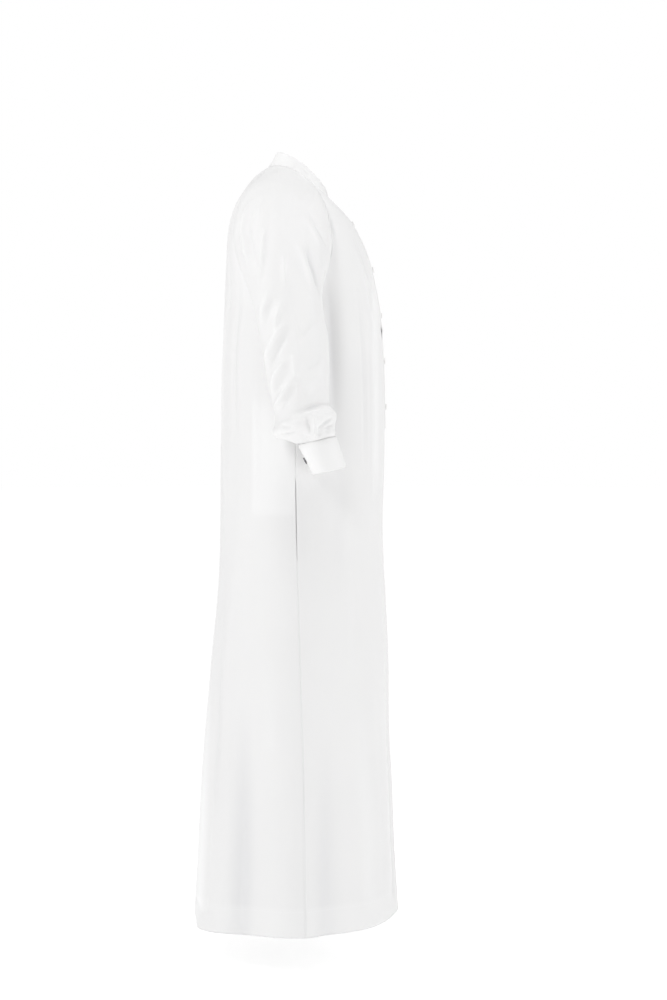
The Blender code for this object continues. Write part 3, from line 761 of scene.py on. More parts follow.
def hang(places):
    """How far creases and unevenness move each place, out from the cloth or into it."""
    moved = unevenness(places, CLOTH_WAVES, CLOTH_WAVE_DEPTH)
    for crease in laid:
        moved += crease_depth(places, *crease)
    return moved


shifts = {}
reliefs = {}
for face, panel in panels.items():
    places = points_of(panel)
    moved = hang(places)
    if face == "front":
        moved *= ease((np.abs(places[:, 0]) - STRIP_HALF) / STRIP_HALF)
    shifts[panel] = normals_of(panel) * moved[:, None]
    reliefs[panel] = moved / RELIEF
    print(face, "panel moves by", np.round([moved.min(), moved.max()], 4), "m")

# %% [markdown]
# ## The bloused sleeves
#
# The sleeve is wider than the cuff that it is gathered into, and longer than the arm, so the cloth
# falls over the cuff in a soft roll. Above the roll a hollow runs round the arm, and from the cuff's
# edge short pleats fan up into it. Both are worked out about the cuff's own axis: height along it,
# and angle round it from the back over the outer side to the front. On the side next to the body
# nothing is moved outwards, so that the sleeve stays clear of the panels.

# %% Cuff sizes, shared by the sleeve's gathers and the cuff itself
CUFF_TOP = Vector((-0.2535, -0.0412, -0.4840))
CUFF_BOTTOM = Vector((-0.2555, -0.0645, -0.5400))
CUFF_TILT = math.radians(12.8)
CUFF_DEEP = {"top": 0.0370, "bottom": 0.0320}
CUFF_WIDE = {"top": 0.0345, "bottom": 0.0300}

Pleat = namedtuple("Pleat", "angle width depth reach")
PLEATS = (
    Pleat(18, 9, 0.0030, 0.030),
    Pleat(42, 8, 0.0025, 0.022),
    Pleat(65, 7, 0.0046, 0.038),
    Pleat(97, 8, 0.0046, 0.036),
    Pleat(124, 10, 0.0038, 0.030),
    Pleat(150, 7, 0.0025, 0.020),
    Pleat(172, 9, 0.0032, 0.028),
    Pleat(196, 7, 0.0022, 0.022),
    Pleat(221, 10, 0.0030, 0.026),
    Pleat(247, 8, 0.0020, 0.020),
    Pleat(270, 9, 0.0018, 0.022),
    Pleat(298, 7, 0.0020, 0.020),
    Pleat(322, 10, 0.0030, 0.028),
    Pleat(345, 8, 0.0026, 0.024),
)
Roll = namedtuple("Roll", "height width depth")
ROLLS = (Roll(0.056, 0.007, -0.0030), Roll(0.040, 0.011, 0.0030))
ROLL_WAVE = 0.004
ROLL_WAVE_TURN = 20
ROLL_LEAN = 0.006
OTHER_SIDE_TURN = 8
CUFF_CLEAR = 0.002
BLOUSE_GROWS = 0.008
SLEEVE_WAVES = (0.035, 0.035, 0.090)
SLEEVE_WAVE_DEPTH = 0.0020


def cuff_frame(side):
    """The cuff's top middle, its way up, its way back and its way out from the body."""
    sign = {"right": 1, "left": -1}[side]
    mirror = np.array([sign, 1, 1])
    up = np.array((CUFF_TOP - CUFF_BOTTOM).normalized()) * mirror
    back = np.array([0, math.cos(CUFF_TILT), -math.sin(CUFF_TILT)])
    return np.array(CUFF_TOP) * mirror, up, back, np.array([-sign, 0, 0])


def blouse(places, side):
    """How far the roll and the pleats move each place on a sleeve."""
    top, up, back, out = cuff_frame(side)
    height = (places - top) @ up
    angle = np.degrees(np.arctan2((places - top) @ out, (places - top) @ back))
    turn = OTHER_SIDE_TURN if side == "left" else 0
    wavy = height + ROLL_WAVE * np.sin(np.radians(2 * angle + ROLL_WAVE_TURN))
    wavy -= ROLL_LEAN * np.cos(np.radians(angle))
    moved = np.zeros(len(places))
    for roll in ROLLS:
        moved += roll.depth * bell(wavy - roll.height, roll.width)
    for pleat in PLEATS:
        apart = (angle - pleat.angle - turn + 180) % 360 - 180
        strength = ease(1 - height / pleat.reach)
        moved -= pleat.depth * strength * bell(apart, pleat.width)
    return moved * ease((height - CUFF_CLEAR) / BLOUSE_GROWS)


# %% How far the sleeves move
EDGE_CALM = 0.03
CREASES_GROW = 0.02
SEAMS_ABOVE = CUFF_TOP.z + EDGE_CALM
INNER_SIDE = {"across": 0.235, "across_fade": 0.02, "height": -0.18, "height_fade": 0.05}


def edge_of(obj):
    """The numbers of the points on a sheet's open edges."""
    used = np.zeros(len(obj.data.edges), int)
    for loop in obj.data.loops:
        used[loop.edge_index] += 1
    open_edges = [edge for edge, times in zip(obj.data.edges, used) if times == 1]
    return np.array(sorted({i for edge in open_edges for i in edge.vertices}))


def nearest(places, targets):
    """For each place, the number of the nearest target and its distance."""
    tree = KDTree(len(targets))
    for order, target in enumerate(targets):
        tree.insert(target, order)
    tree.balance()
    found = [tree.find(place) for place in places]
    return np.array([hit[1] for hit in found]), np.array([hit[2] for hit in found])


for side, sleeve in sleeves.items():
    places = points_of(sleeve)
    top, up, _, _ = cuff_frame(side)
    height = (places - top) @ up
    edge = edge_of(sleeve)
    seam_edge = edge[places[edge][:, 2] > SEAMS_ABOVE]
    calm = ease(nearest(places, places[seam_edge])[1] / EDGE_CALM)
    moved = hang(places) + calm * unevenness(places, SLEEVE_WAVES, SLEEVE_WAVE_DEPTH)
    moved *= ease((height - CUFF_CLEAR) / CREASES_GROW)
    moved += blouse(places, side)
    inner_side = ease((INNER_SIDE["across"] - np.abs(places[:, 0])) / INNER_SIDE["across_fade"])
    inner_side *= ease((INNER_SIDE["height"] - places[:, 2]) / INNER_SIDE["height_fade"])
    moved = np.where(moved > 0, moved * (1 - inner_side), moved)
    shifts[sleeve] = normals_of(sleeve) * moved[:, None]
    reliefs[sleeve] = moved / RELIEF
    print(side, "sleeve moves by", np.round([moved.min(), moved.max()], 4), "m")

# %% [markdown]
# Two sheets that meet at a seam would be moved along slightly different normals, which would open
# the seam. So at each seam the two moves are averaged, and the difference is spread a little way
# into both sheets. The pocket opening is a stretch of the side seam that is left unsewn. Its edges
# rest nearly together, and above it the seam is drawn shut.

# %% Move the cloth, together at the seams
SEAM_GAP = 0.004
SEAM_SPREAD = 0.010
POCKET = (-0.556, -0.703)
SLIT_OPEN = 0.0004
SEWN_SHUT = 0.0001

edges = {sheet: edge_of(sheet) for sheet in shifts}
for sheet, shift in shifts.items():
    places = points_of(sheet)
    own = places[edges[sheet]]
    others = [other for other in shifts if other != sheet]
    other_places = np.concatenate([points_of(other)[edges[other]] for other in others])
    other_shifts = np.concatenate([shifts[other][edges[other]] for other in others])
    partner, gap = nearest(own, other_places)
    left_open = np.where((own[:, 2] < POCKET[0]) & (own[:, 2] > POCKET[1]), SLIT_OPEN, SEWN_SHUT)
    shut = (other_places[partner] - own) / 2 * np.clip(1 - left_open / gap, 0, 1)[:, None]
    mend = (other_shifts[partner] - shift[edges[sheet]]) / 2 + shut
    mend = np.where((gap < SEAM_GAP)[:, None], mend, 0)
    closest, away = nearest(places, own)
    move_points(sheet, places + shift + mend[closest] * bell(away, SEAM_SPREAD)[:, None])
    print(sheet.name, "mended at its seams by up to", round(float(np.abs(mend).max()) * 1000, 1), "mm")

# %% [markdown]
# ## Collar, front strip and pocket bags
#
# The collar and the strip over the front opening are narrow bands of doubled, stiffened cloth, and
# the pocket bags lie flat inside the side seams. They are sheets on their solids too. The collar's
# lower edge leans out to meet the neckline all round, and the strip's edges are pressed down. Between
# two upper buttons the strip's right edge springs a little clear, as such strips do. A bag sinks a
# little deeper behind its opening.

# %% Bands and bags
NECK_LOWEST = -0.06
RIM_BESIDE = 0.003
RIM_BELOW = 0.0025
COLLAR_MEETS = 0.012
COLLAR_LEANS = 0.020
LEAN_EVENED = 0.007
GAPE = {"height": -0.266, "width": 0.011, "depth": 0.0034, "across": 0.016}
STRIP_PRESSED = {"depth": 0.0011, "from": 0.010, "fade": 0.005}
BAG_DEEPER = {"depth": 0.004, "middle": -0.630, "half": 0.075, "fade": 1.4, "along": -0.004, "width": 0.022}
BAG_SET_BACK = 0.0008


def tops_of(sheet):
    """The points of a sheet's edges that are near the height of the neck."""
    places = points_of(sheet)[edge_of(sheet)]
    return places[places[:, 2] > NECK_LOWEST]


collar = sheet_of("collar", 3)
strip = sheet_of("placket", 3)
bags = {side: sheet_of(f"pocket_bag_{side}", 2) for side in SIDES}

neckline = np.concatenate([tops_of(sheet) for sheet in (*panels.values(), *sleeves.values())])
places = points_of(collar)
rim = places[edge_of(collar)]
beside = np.linalg.norm(rim[:, None, :2] - rim[None, :, :2], axis=2) < RIM_BESIDE
lower = rim[None, :, 2] < rim[:, None, 2] - RIM_BELOW
rim = rim[~(beside & lower).any(axis=1)]
partner, gap = nearest(rim, neckline)
meets = np.where(gap < COLLAR_MEETS, np.clip(1 - SEWN_SHUT / gap, 0, 1), 0)
lean = (neckline[partner] - rim) * meets[:, None]
share = bell(np.linalg.norm(rim[:, None] - rim[None], axis=2), LEAN_EVENED)
lean = share @ lean / share.sum(axis=1)[:, None]
closest, away = nearest(places, rim)
move_points(collar, places + lean[closest] * (1 - ease(away / COLLAR_LEANS))[:, None])
print("the collar leans out by up to", round(float(np.linalg.norm(lean, axis=1).max()) * 1000, 1), "mm")

places = points_of(strip)
lifted = GAPE["depth"] * bell(places[:, 2] - GAPE["height"], GAPE["width"])
lifted *= ease(-places[:, 0] / GAPE["across"])
pressed = ease((np.abs(places[:, 0]) - STRIP_PRESSED["from"]) / STRIP_PRESSED["fade"])
lifted -= STRIP_PRESSED["depth"] * pressed
move_points(strip, places + normals_of(strip) * lifted[:, None])

for bag in bags.values():
    places = points_of(bag)
    normals = normals_of(bag)
    places += normals * (hang(places) - BAG_SET_BACK)[:, None]
    from_middle = np.abs(places[:, 2] - BAG_DEEPER["middle"]) / BAG_DEEPER["half"]
    deeper = BAG_DEEPER["depth"] * ease(BAG_DEEPER["fade"] - from_middle)
    deeper *= bell(places[:, 1] - BAG_DEEPER["along"], BAG_DEEPER["width"])
    move_points(bag, places - normals * deeper[:, None])

# %% [markdown]
# ## The turned-back cuffs
#
# A double cuff is one long band folded back on itself, so that its two layers lie against each other
# and its fold is the bottom edge. It starts as a flat grid, and each of its points is then moved:
# across the grid becomes the way round the wrist, and up the grid runs up the inside, over the fold
# and back up the outside. Its two ends meet at the back, where the link holds them.

# %% Bend a grid into a cuff
CUFF_LAYER = 0.0012
CUFF_FOLD_GAP = 0.0006
CUFF_ENDS_GAP = 0.0042
CUFF_OUTER_TALLER = 0.0020
CUFF_SOFT = 0.0004
CUFF_GRID = (96, 48)


def cuff_profile(share, full):
    """Depth inside the outer layer and height, along the band from its inner top to its outer top."""
    radius = (CUFF_LAYER + CUFF_FOLD_GAP) / 2
    inner, turn, outer = full - radius, math.pi * radius, full - radius + CUFF_OUTER_TALLER
    run = share * (inner + turn + outer)
    angle = np.clip((run - inner) / radius, 0, math.pi)
    height = np.where(run < inner, full - run, radius - radius * np.sin(angle))
    height = np.where(run > inner + turn, radius + run - inner - turn, height)
    return radius + radius * np.cos(angle) + CUFF_LAYER / 2, height, inner + turn + outer


def make_cuff(side):
    """A folded band round the wrist, which keeps the size that it was cut to."""
    bpy.ops.mesh.primitive_grid_add(x_subdivisions=CUFF_GRID[0], y_subdivisions=CUFF_GRID[1], size=1)
    obj = bpy.context.object
    obj.name = f"cuff_{side}_cloth"
    across, share = points_of(obj)[:, 0] + 0.5, points_of(obj)[:, 1] + 0.5
    full = (CUFF_TOP - CUFF_BOTTOM).length
    depth, height, band = cuff_profile(share, full)
    gap = CUFF_ENDS_GAP / 2 / CUFF_WIDE["top"]
    angle = gap + across * (2 * math.pi - 2 * gap)
    part = height / full
    top, up, back, out = cuff_frame(side)
    deep, wide = (
        size["bottom"] + (size["top"] - size["bottom"]) * part - depth for size in (CUFF_DEEP, CUFF_WIDE)
    )
    soft = CUFF_SOFT * np.sin(3 * angle + 1) * part
    points = top - np.outer(full - height, up)
    points = points + np.outer((deep + soft) * np.cos(angle), back)
    points = points + np.outer((wide + soft) * np.sin(angle), out)
    girth = math.pi * (CUFF_DEEP["top"] + CUFF_WIDE["top"])
    layer = obj.data.uv_layers.active
    layer.name = "cut"
    layer.uv.foreach_set("vector", (corners_of(layer) * (girth, band)).ravel())
    move_points(obj, points)
    obj["cut_size"] = [girth, band]
    obj["cut_area"] = area_of(obj)
    open_whole(obj)
    bpy.ops.mesh.normals_make_consistent(inside=False)
    bpy.ops.object.mode_set(mode="OBJECT")
    bpy.ops.object.shade_smooth()
    return obj


cuffs = {side: make_cuff(side) for side in SIDES}
print("a cuff was cut", np.round(cuffs["right"]["cut_size"], 3), "m")

# %% [markdown]
# ## Seam lines
#
# Seams and edges are where the eye looks for sewing. The open edge of each sheet is walked into an
# ordered loop, and the stretch of it that runs along a seam, a neckline or a hem is picked out by
# its place. From such a line a row of stitches can be laid a few millimetres in.


# %% Find a sheet's edges
def edge_loops(obj):
    """The sheet's open edges as ordered, closed runs of point numbers."""
    shape = bmesh.new()
    shape.from_mesh(obj.data)
    left = {edge for edge in shape.edges if edge.is_boundary}
    loops = []
    while left:
        edge = min(left, key=lambda edge: edge.index)
        start = vert = edge.verts[0]
        loop = [vert.index]
        while edge:
            left.discard(edge)
            vert = edge.other_vert(vert)
            if vert == start:
                break
            loop.append(vert.index)
            edge = next((e for e in vert.link_edges if e in left), None)
        loops.append(loop)
    shape.free()
    return loops


def runs(obj, wanted):
    """Stretches of the sheet's edge whose points and directions pass a test, each in order."""
    points = points_of(obj)
    found = []
    for loop in edge_loops(obj):
        ring = points[loop]
        along = np.roll(ring, -1, axis=0) - np.roll(ring, 1, axis=0)
        along /= np.linalg.norm(along, axis=1, keepdims=True)
        passes = [bool(wanted(point, way)) for point, way in zip(ring, along)]
        if all(passes):
            found.append(loop + loop[:1])
            continue
        start = passes.index(False)
        loop, passes = loop[start:] + loop[:start], passes[start:] + passes[:start]
        run = []
        for i, good in zip(loop + loop[:1], passes + [False]):
            if good:
                run.append(i)
            elif run:
                found.append(run)
                run = []
    return [run for run in found if len(run) > 3]


# %% [markdown]
# ## Where the cloth is doubled
#
# The material has to know where more than one layer lies. That is the hem, the pocket bag, a soft
# pressed fold down each side of the front, and a narrow band beside each seam, where the allowances
# of both pieces are pressed to one side: towards the front at the side seams, and into the sleeve at
# the others.

# %% Mark seams and doubled cloth for the material
HEM_DEPTH = 0.050
HEM_FADE = 0.003
HEM_EDGE = -1.33
HEM_SLOPE = 0.6
HEM_WHITER = 0.25
SEAM_REACH = 0.006
SLEEVE_SEAMS_ABOVE = -0.30
PRESSED = 0.65
PRESSED_REACH = 0.0045
BAG_WHITER = 0.72
FOLD_WHITER = 0.8

# Where the bag and the fold show: each edge's place, and the distance over which it fades
BAG_SHOWS = {"top": (-0.385, 0.05), "bottom": (-0.632, 0.02), "back": (0.088, 0.008)}
FRONT_FOLD = {
    "behind": (-0.1435, 0.004),
    "ahead": (-0.1610, 0.006),
    "top": (-0.135, 0.08),
    "bottom": (-0.600, 0.10),
}

hem_lines = {}


def set_attribute(obj, name, values):
    attribute = obj.data.attributes.new(name, "FLOAT", "POINT")
    attribute.data.foreach_set("value", np.asarray(values, np.float32))


def below(values, edge, fade):
    """1 well below an edge and 0 above it."""
    return ease((edge - values) / fade)


def above(values, edge, fade):
    """1 well above an edge and 0 below it."""
    return ease((values - edge) / fade)


def pressed_beside(places, seam_points):
    """How much whiter the cloth is for the allowance pressed behind it, beside a seam."""
    return PRESSED * (1 - ease(nearest(places, seam_points)[1] / PRESSED_REACH))


# The relief feeds the cloth's painted highlight on crests and painted shade in hollows
for sheet, relief in reliefs.items():
    set_attribute(sheet, "relief", relief)
for face, panel in panels.items():
    places = points_of(panel)
    hem_lines[face] = max(runs(panel, lambda p, way: p[2] < HEM_EDGE and abs(way[2]) < HEM_SLOPE), key=len)
    hem = set(hem_lines[face])
    sewn = places[[i for loop in edge_loops(panel) for i in loop if i not in hem]]
    from_hem = nearest(places, places[hem_lines[face]])[1]
    layers = HEM_WHITER * (1 - above(from_hem, HEM_DEPTH, HEM_FADE))
    if face == "back":
        inside = below(places[:, 2], *BAG_SHOWS["top"]) * above(places[:, 2], *BAG_SHOWS["bottom"])
        inside *= below(places[:, 1], *BAG_SHOWS["back"])
        layers = np.maximum(layers, BAG_WHITER * inside)
    else:
        fold = below(places[:, 1], *FRONT_FOLD["behind"]) * above(places[:, 1], *FRONT_FOLD["ahead"])
        fold *= below(places[:, 2], *FRONT_FOLD["top"]) * above(places[:, 2], *FRONT_FOLD["bottom"])
        layers = np.maximum(layers, FOLD_WHITER * fold)
        layers = np.maximum(layers, pressed_beside(places, sewn))
    set_attribute(panel, "layers", layers)
    set_attribute(panel, "seam", 1 - ease(nearest(places, sewn)[1] / SEAM_REACH))
    group = panel.vertex_groups.new(name="thickness")
    for index, value in enumerate(0.5 + 0.5 * (from_hem < HEM_DEPTH)):
        group.add([index], float(value), "REPLACE")
for sleeve in sleeves.values():
    places = points_of(sleeve)
    sewn = places[edge_of(sleeve)]
    set_attribute(sleeve, "layers", pressed_beside(places, sewn[sewn[:, 2] > SLEEVE_SEAMS_ABOVE]))
print("hem points:", {face: len(line) for face, line in hem_lines.items()})

# %% [markdown]
# ## Stitches
#
# Each stitch is a short, round-ended grain of thread, half sunk in the cloth. It is modelled once,
# as a low ball drawn out along its length, and then copied along each line, turned to follow it.
# Real stitches are about 2.5 mm long with a small gap, so the hem alone has over four hundred.

# %% Stitch one, and copy it along a line
STITCH = {"length": 0.0026, "gap": 0.0008, "thick": 0.00026, "sunk": 0.0001}

bpy.ops.mesh.primitive_uv_sphere_add(segments=6, ring_count=4, radius=1)
grain = bpy.context.object
grain_points = points_of(grain)[:, [2, 1, 0]] * (STITCH["length"] / 2, STITCH["thick"], STITCH["thick"])
grain_faces = [list(face.vertices)[::-1] for face in grain.data.polygons]
bpy.data.objects.remove(grain)


def inset_line(obj, indices, inset):
    """A sheet's edge moved in along the cloth, with the cloth's normals there."""
    points, normals = points_of(obj), normals_of(obj)
    line, facing = points[indices], normals[indices]
    along = np.gradient(line, axis=0)
    along /= np.linalg.norm(along, axis=1, keepdims=True)
    inward = np.cross(facing, along)
    inward /= np.linalg.norm(inward, axis=1, keepdims=True)
    tries = []
    for sign in (1, -1):
        hits = [obj.closest_point_on_mesh(Vector(point)) for point in line + sign * inward * inset]
        places, normals = (np.array([hit[part] for hit in hits]) for part in (1, 2))
        tries.append((np.linalg.norm(places - line, axis=1).mean(), places, normals))
    return max(tries, key=lambda found: found[0])[1:]


def at_run(at, run, values):
    """Values given along a line, at some distance along it."""
    return np.array([np.interp(at, run, column) for column in values.T])


def stitched(lines):
    """Points and faces of the stitches along several lines."""
    points, faces = [], []
    step = STITCH["length"] + STITCH["gap"]
    for line, facing in lines:
        run = run_along(line)
        for at in np.arange(step, run[-1] - step, step):
            place = at_run(at, run, line)
            ahead = at_run(at + step / 2, run, line) - place
            up = at_run(at, run, facing)
            ahead /= np.linalg.norm(ahead)
            side = np.cross(up, ahead)
            side /= np.linalg.norm(side)
            up = np.cross(ahead, side)
            first = len(points) * len(grain_points)
            turned = grain_points @ np.array([ahead, side, up]) + place - up * STITCH["sunk"]
            points.append(turned)
            faces.extend([[first + i for i in face] for face in grain_faces])
    return np.concatenate(points), faces


def sew(name, lines):
    points, faces = stitched(lines)
    mesh = bpy.data.meshes.new(name)
    mesh.from_pydata(points.tolist(), [], faces)
    mesh.materials.append(thread)
    mesh.shade_smooth()
    print(name, len(faces) // len(grain_faces), "stitches")
    return added(name, mesh)


# %% Sew the hem, the seams, the bands and the cuffs
TOPSTITCH = 0.003
HEM_STITCHED = HEM_DEPTH - 0.002
SIDE = 0.070
UNDERARM = -0.232
RAGLAN_ABOVE = UNDERARM + 0.01

raglan = []
pocket = []
for panel in panels.values():
    for sign in (-1, 1):
        for run in runs(panel, lambda p, _: sign * p[0] > SIDE and p[2] > RAGLAN_ABOVE):
            raglan.append(inset_line(panel, run, TOPSTITCH))
        for run in runs(panel, lambda p, _: sign * p[0] > SIDE and POCKET[1] < p[2] < POCKET[0]):
            pocket.append(inset_line(panel, run, TOPSTITCH))
stitch_lines = {
    "hem": [inset_line(panel, hem_lines[face], HEM_STITCHED) for face, panel in panels.items()],
    "raglan": raglan,
    "pocket": pocket,
    "collar": [inset_line(collar, run, TOPSTITCH) for run in edge_loops(collar)],
    "strip": [inset_line(strip, run, TOPSTITCH) for run in edge_loops(strip)],
}
sewing = {name: sew(f"{name}_stitches", lines) for name, lines in stitch_lines.items()}

# %% [markdown]
# ## Seam allowances
#
# A seam is not where two sheets stop. Each sheet's edge turns inwards there and is pressed back under
# its own cloth, and the two folds touch. So each sewn edge is extruded in rows: towards the other
# sheet, down, and back under the cloth. From outside that leaves the fine groove of a real seam, and
# from inside the garment the pressed allowances show.

# %% Turn the sewn edges in
ALLOWANCE = 0.007
AT_NECKLINE = 0.004
Row = namedtuple("Row", "half_gaps under deep")
TURNED_UNDER = (Row(1, 0, 0.0006), Row(1, 0, 0.0019), Row(0, ALLOWANCE, 0.0019))
TURNED_DOWN = (Row(0, -0.0006, 0.0002), Row(0, -0.0063, 0.0022))
WIDEST_HALF_GAP = 0.0012


def turn_in(obj, indices, rows=TURNED_UNDER):
    """Adds rows to a sewn edge, each some half gaps out or some way under the cloth, and deep."""
    under, _ = inset_line(obj, indices, ALLOWANCE)
    edge, facing = points_of(obj)[indices], normals_of(obj)[indices]
    in_slit = (edge[:, 2] < POCKET[0]) & (edge[:, 2] > POCKET[1]) & (np.abs(edge[:, 0]) > SIDE)
    others = np.concatenate([places for sheet, places in sewn_edges.items() if sheet != obj])
    half_gap = nearest(edge, others)[1] / 2
    half_gap = np.where((half_gap > WIDEST_HALF_GAP) | in_slit, 0, half_gap)
    shape = bmesh.new()
    shape.from_mesh(obj.data)
    shape.verts.ensure_lookup_table()
    line = [shape.verts[i] for i in indices]
    for row in rows:
        share = (row.under - row.half_gaps * half_gap) / ALLOWANCE
        places = edge + (under - edge) * share[:, None] - facing * row.deep
        sides = [shape.edges.get(pair) for pair in zip(line, line[1:])]
        made = set(bmesh.ops.extrude_edge_only(shape, edges=sides)["geom"])
        line = [next(e.other_vert(v) for e in v.link_edges if e.other_vert(v) in made) for v in line]
        for vert, place in zip(line, places):
            vert.co = place
    shape.to_mesh(obj.data)
    shape.free()


sewn_edges = {sheet: points_of(sheet)[edge_of(sheet)] for sheet in (*shifts, collar)}
for face, panel in panels.items():
    hem = set(hem_lines[face])
    for loop in edge_loops(panel):
        start = next(k for k, i in enumerate(loop) if i in hem and loop[k - 1] not in hem)
        loop = loop[start:] + loop[:start]
        turn_in(panel, [loop[len(hem) - 1], *loop[len(hem):], loop[0]])
for sleeve in sleeves.values():
    for run in runs(sleeve, lambda p, _: p[2] > SEAMS_ABOVE):
        turn_in(sleeve, run)
for run in runs(collar, lambda p, _: np.linalg.norm(neckline - p, axis=1).min() < AT_NECKLINE):
    turn_in(collar, run, TURNED_DOWN)

# %% [markdown]
# ## Thickness
#
# Up to here every piece is a bare surface. A Solidify modifier gives it the cloth's thickness,
# inwards, twice as much where the hem is turned up, and more in the interlined bands.

# %% Give the sheets their thickness
CLOTH_THICK = 0.0008
COLLAR_THICK = 0.0022
STRIP_THICK = 0.0024



def thicken(sheet, thickness, material, **settings):
    apply_modifier(sheet, "SOLIDIFY", thickness=thickness, **settings)
    sheet.data.materials.append(material)


for panel in panels.values():
    thicken(panel, 2 * CLOTH_THICK, cloth, offset=-1, vertex_group="thickness")
for sheet in (*sleeves.values(), *bags.values()):
    thicken(sheet, CLOTH_THICK, cloth, offset=-1)
thicken(collar, COLLAR_THICK, stiff_cloth, offset=-1)
thicken(strip, STRIP_THICK, stiff_cloth, offset=-1)
for cuff in cuffs.values():
    thicken(cuff, CUFF_LAYER, stiff_cloth, offset=0)
print("cloth", CLOTH_THICK * 1000, "mm thick")

# %% [markdown]
# ## Buttons and cuff links
#
# A shirt button is a small disc with a raised rim, a dished middle and four holes, sewn on through
# them. It is turned from a cylinder by insetting and moving its top face. The link's face is a low
# domed disc, on a post through both ends of the cuff.

# %% Shape a button
BUTTON = {"radius": 0.0055, "thick": 0.0022, "rim": 0.0012, "dish": 0.0005, "hole": 0.0006, "apart": 0.0014}
BUTTON_COUNT = 5


def place_of(node):
    """The middle of a flat round node, and the way that its face points."""
    points = np.array([vert.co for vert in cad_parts[node].data.vertices])
    middle = (points.min(axis=0) + points.max(axis=0)) / 2
    axis = np.linalg.svd(points - points.mean(axis=0))[2][-1]
    return Vector(middle), Vector(axis if axis[1] < 0 else -axis)


def select_top(obj):
    """Selects the faces at the top of a shape that look straight up."""
    shape = bmesh.from_edit_mesh(obj.data)
    highest = max(vert.co.z for vert in shape.verts)
    for face in shape.faces:
        face.select_set(face.normal.z > 0.99 and face.calc_center_median().z > highest - 0.00001)
    bmesh.update_edit_mesh(obj.data)


def turned_disc(name, radius, thick, rim, dish, place):
    """A disc with a rounded rim and a middle that is dished, or domed where the dish is negative."""
    bpy.ops.object.select_all(action="DESELECT")
    bpy.ops.mesh.primitive_cylinder_add(vertices=48, radius=radius, depth=thick)
    obj = bpy.context.object
    obj.name = name
    bpy.ops.object.mode_set(mode="EDIT")
    bpy.context.tool_settings.mesh_select_mode = (False, False, True)
    select_top(obj)
    bpy.ops.mesh.inset(thickness=rim)
    bpy.ops.transform.translate(value=(0, 0, -dish))
    bpy.ops.mesh.inset(thickness=rim / 2)
    bpy.ops.object.mode_set(mode="OBJECT")
    apply_modifier(obj, "BEVEL", width=min(rim, thick) / 4, segments=3, limit_method="ANGLE")
    obj.data.transform(place)
    return obj


def facing(point, direction):
    """The move that puts a disc at a point, looking one way."""
    return Matrix.Translation(point) @ Vector(direction).to_track_quat("Z", "Y").to_matrix().to_4x4()


# %% Make the buttons
buttons = {}
for number in range(1, BUTTON_COUNT + 1):
    middle, out = place_of(f"button_{number}")
    size = (BUTTON[part] for part in ("radius", "thick", "rim", "dish"))
    button = turned_disc(f"button_{number}_shell", *size, Matrix())
    for turn in range(4):
        angle = math.radians(45 + 90 * turn)
        spot = (BUTTON["apart"] * math.cos(angle), BUTTON["apart"] * math.sin(angle), 0)
        bpy.ops.mesh.primitive_cylinder_add(vertices=16, radius=BUTTON["hole"], depth=0.01, location=spot)
        drill = bpy.context.object
        apply_modifier(button, "BOOLEAN", operation="DIFFERENCE", object=drill)
        bpy.data.objects.remove(drill)
    button.data.transform(facing(middle, out))
    button.data.materials.append(pearl)
    buttons[number] = button
print(len(buttons), "buttons")

# %% Sew the buttons on
BUTTON_THREAD = 0.00035
CROSS_REACH = 0.72 * BUTTON["apart"]

lift = BUTTON["thick"] / 2 - BUTTON["dish"] + STITCH["sunk"]
cross = []
for number in buttons:
    matrix = facing(*place_of(f"button_{number}"))
    for sign in (-1, 1):
        ends = [Vector((reach, sign * reach, lift)) for reach in (-CROSS_REACH, 0, CROSS_REACH)]
        cross.append([matrix @ end for end in ends])


def thread_bars(name, lines, thick):
    """A round bar of thread along each short line."""
    curve = bpy.data.curves.new(name, "CURVE")
    curve.dimensions = "3D"
    curve.bevel_depth = thick
    curve.bevel_resolution = 2
    curve.use_fill_caps = True
    for line in lines:
        spline = curve.splines.new("POLY")
        spline.points.add(len(line) - 1)
        for point, place in zip(spline.points, line):
            point.co = (*place, 1)
    pick(added(name, curve))
    bpy.ops.object.convert(target="MESH")
    obj = bpy.context.object
    obj.data.materials.clear()
    obj.data.materials.append(thread)
    return obj


sewing["button"] = thread_bars("button_thread", cross, BUTTON_THREAD)

# %% Make the cuff links
Disc = namedtuple("Disc", "radius thick rim dish")
LINK_FACE = Disc(0.0064, 0.0022, 0.0014, -0.0006)
LINK_TOGGLE = Disc(0.0050, 0.0024, 0.0010, -0.0002)
LINK_POST = 0.0014
LINK_INSIDE = 2 * CUFF_LAYER + CUFF_FOLD_GAP + 0.0012
LINK_OUTSIDE = 0.0001
LINK_FACE_CLEAR = 0.0002


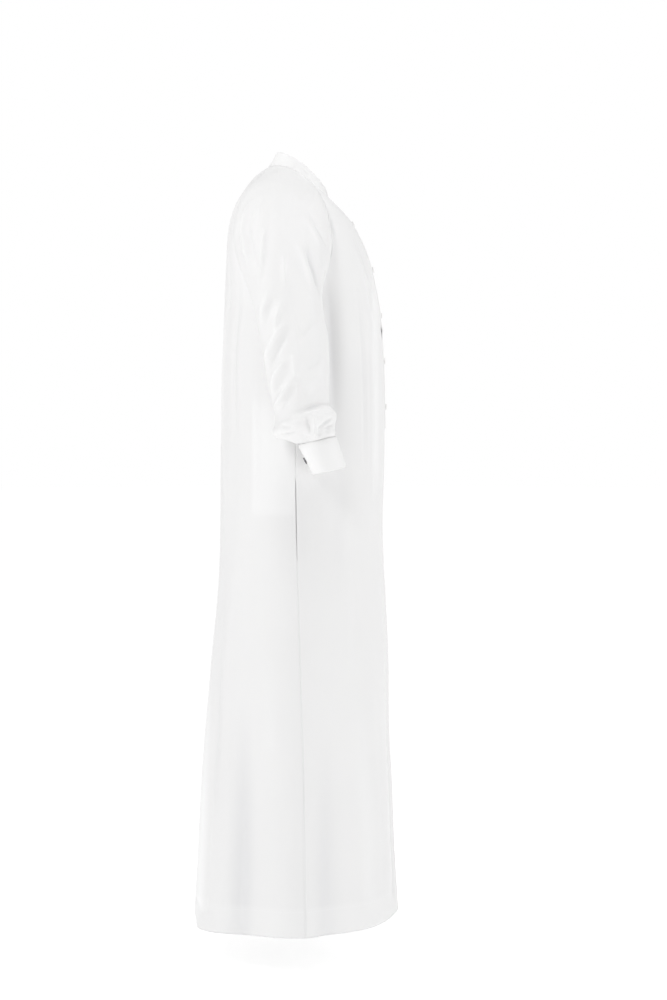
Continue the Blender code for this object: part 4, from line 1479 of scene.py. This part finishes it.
def make_link(side):
    """A domed face, a post through the cuff's ends and a toggle inside, as one piece."""
    top, _, back, _ = cuff_frame(side)
    bottom = np.array(CUFF_BOTTOM) * (np.sign(top[0] * CUFF_TOP.x), 1, 1)
    low, high = bottom + back * CUFF_DEEP["bottom"], top + back * CUFF_DEEP["top"]
    edge = high - low
    place = facing(Vector((low + high) / 2), (0, edge[2], -edge[1]))
    face_at = Matrix.Translation((0, 0, LINK_OUTSIDE + LINK_FACE.thick / 2 + LINK_FACE_CLEAR))
    face = turned_disc(f"cuff_link_{side}_metal", *LINK_FACE, face_at)
    toggle_at = Matrix.Translation((0, 0, -LINK_INSIDE - LINK_TOGGLE.thick / 2))
    toggle = turned_disc("toggle", *LINK_TOGGLE, toggle_at)
    long = LINK_INSIDE + LINK_OUTSIDE + 0.001
    middle = (0, 0, (LINK_OUTSIDE - LINK_INSIDE) / 2)
    bpy.ops.mesh.primitive_cylinder_add(vertices=24, radius=LINK_POST, depth=long, location=middle)
    post = bpy.context.object
    pick(face)
    for other in (toggle, post):
        other.select_set(True)
    bpy.ops.object.join()
    face.data.transform(place)
    face.data.materials.clear()
    face.data.materials.append(dark_metal)
    pick(face)
    bpy.ops.object.shade_smooth_by_angle(angle=math.radians(35))
    return face


links = {side: make_link(side) for side in SIDES}
print("links on", ", ".join(links))

# %% [markdown]
# ## What each piece stands for
#
# Every piece rides on the robe's one body, and all but the sewing take the place of their solids.
# Each sheet of cloth also states the flat size that it was cut to, which the unwrapping measured.

# %% Rides and cut sizes
Piece = namedtuple("Piece", "sheet slot held rests_on going_with", defaults=([],))

front_sewing = [sewing[name] for name in ("hem", "raglan", "pocket")]
strip_sewing = [sewing["strip"], sewing["button"]]
cloth_pieces = {
    "front_panel": Piece(panels["front"], "cloth", "hung", ["collar_cloth"], front_sewing),
    "back_panel": Piece(panels["back"], "cloth", "hung", ["collar_cloth"]),
}
for side in SIDES:
    rests_on = ["collar_cloth", f"cuff_{side}_cloth"]
    cloth_pieces[f"sleeve_{side}"] = Piece(sleeves[side], "cloth", "gathered", rests_on)
for side in SIDES:
    cloth_pieces[f"pocket_bag_{side}"] = Piece(bags[side], "cloth", "hung", ["front_panel_cloth"])
cloth_pieces["collar"] = Piece(collar, "stiff_cloth", "hung", ["back_panel_cloth"], [sewing["collar"]])
cloth_pieces["placket"] = Piece(strip, "stiff_cloth", "laid", ["front_panel_cloth"], strip_sewing)
for side in SIDES:
    cloth_pieces[f"cuff_{side}"] = Piece(cuffs[side], "stiff_cloth", "folded", [f"sleeve_{side}_cloth"])

for node, (piece, slot, held, rests_on, going_with) in cloth_pieces.items():
    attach(piece, "root")
    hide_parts(node)
    width, length = piece["cut_size"]
    area = min(piece["cut_area"], width * length)
    print(node, "cut", round(width, 3), "by", round(length, 3), "m, area", round(area, 3))

for number, button in buttons.items():
    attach(button, "root")
    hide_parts(f"button_{number}")
for side, link in links.items():
    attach(link, "root")
    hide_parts(f"cuff_link_{side}")
for piece in sewing.values():
    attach(piece, "root")
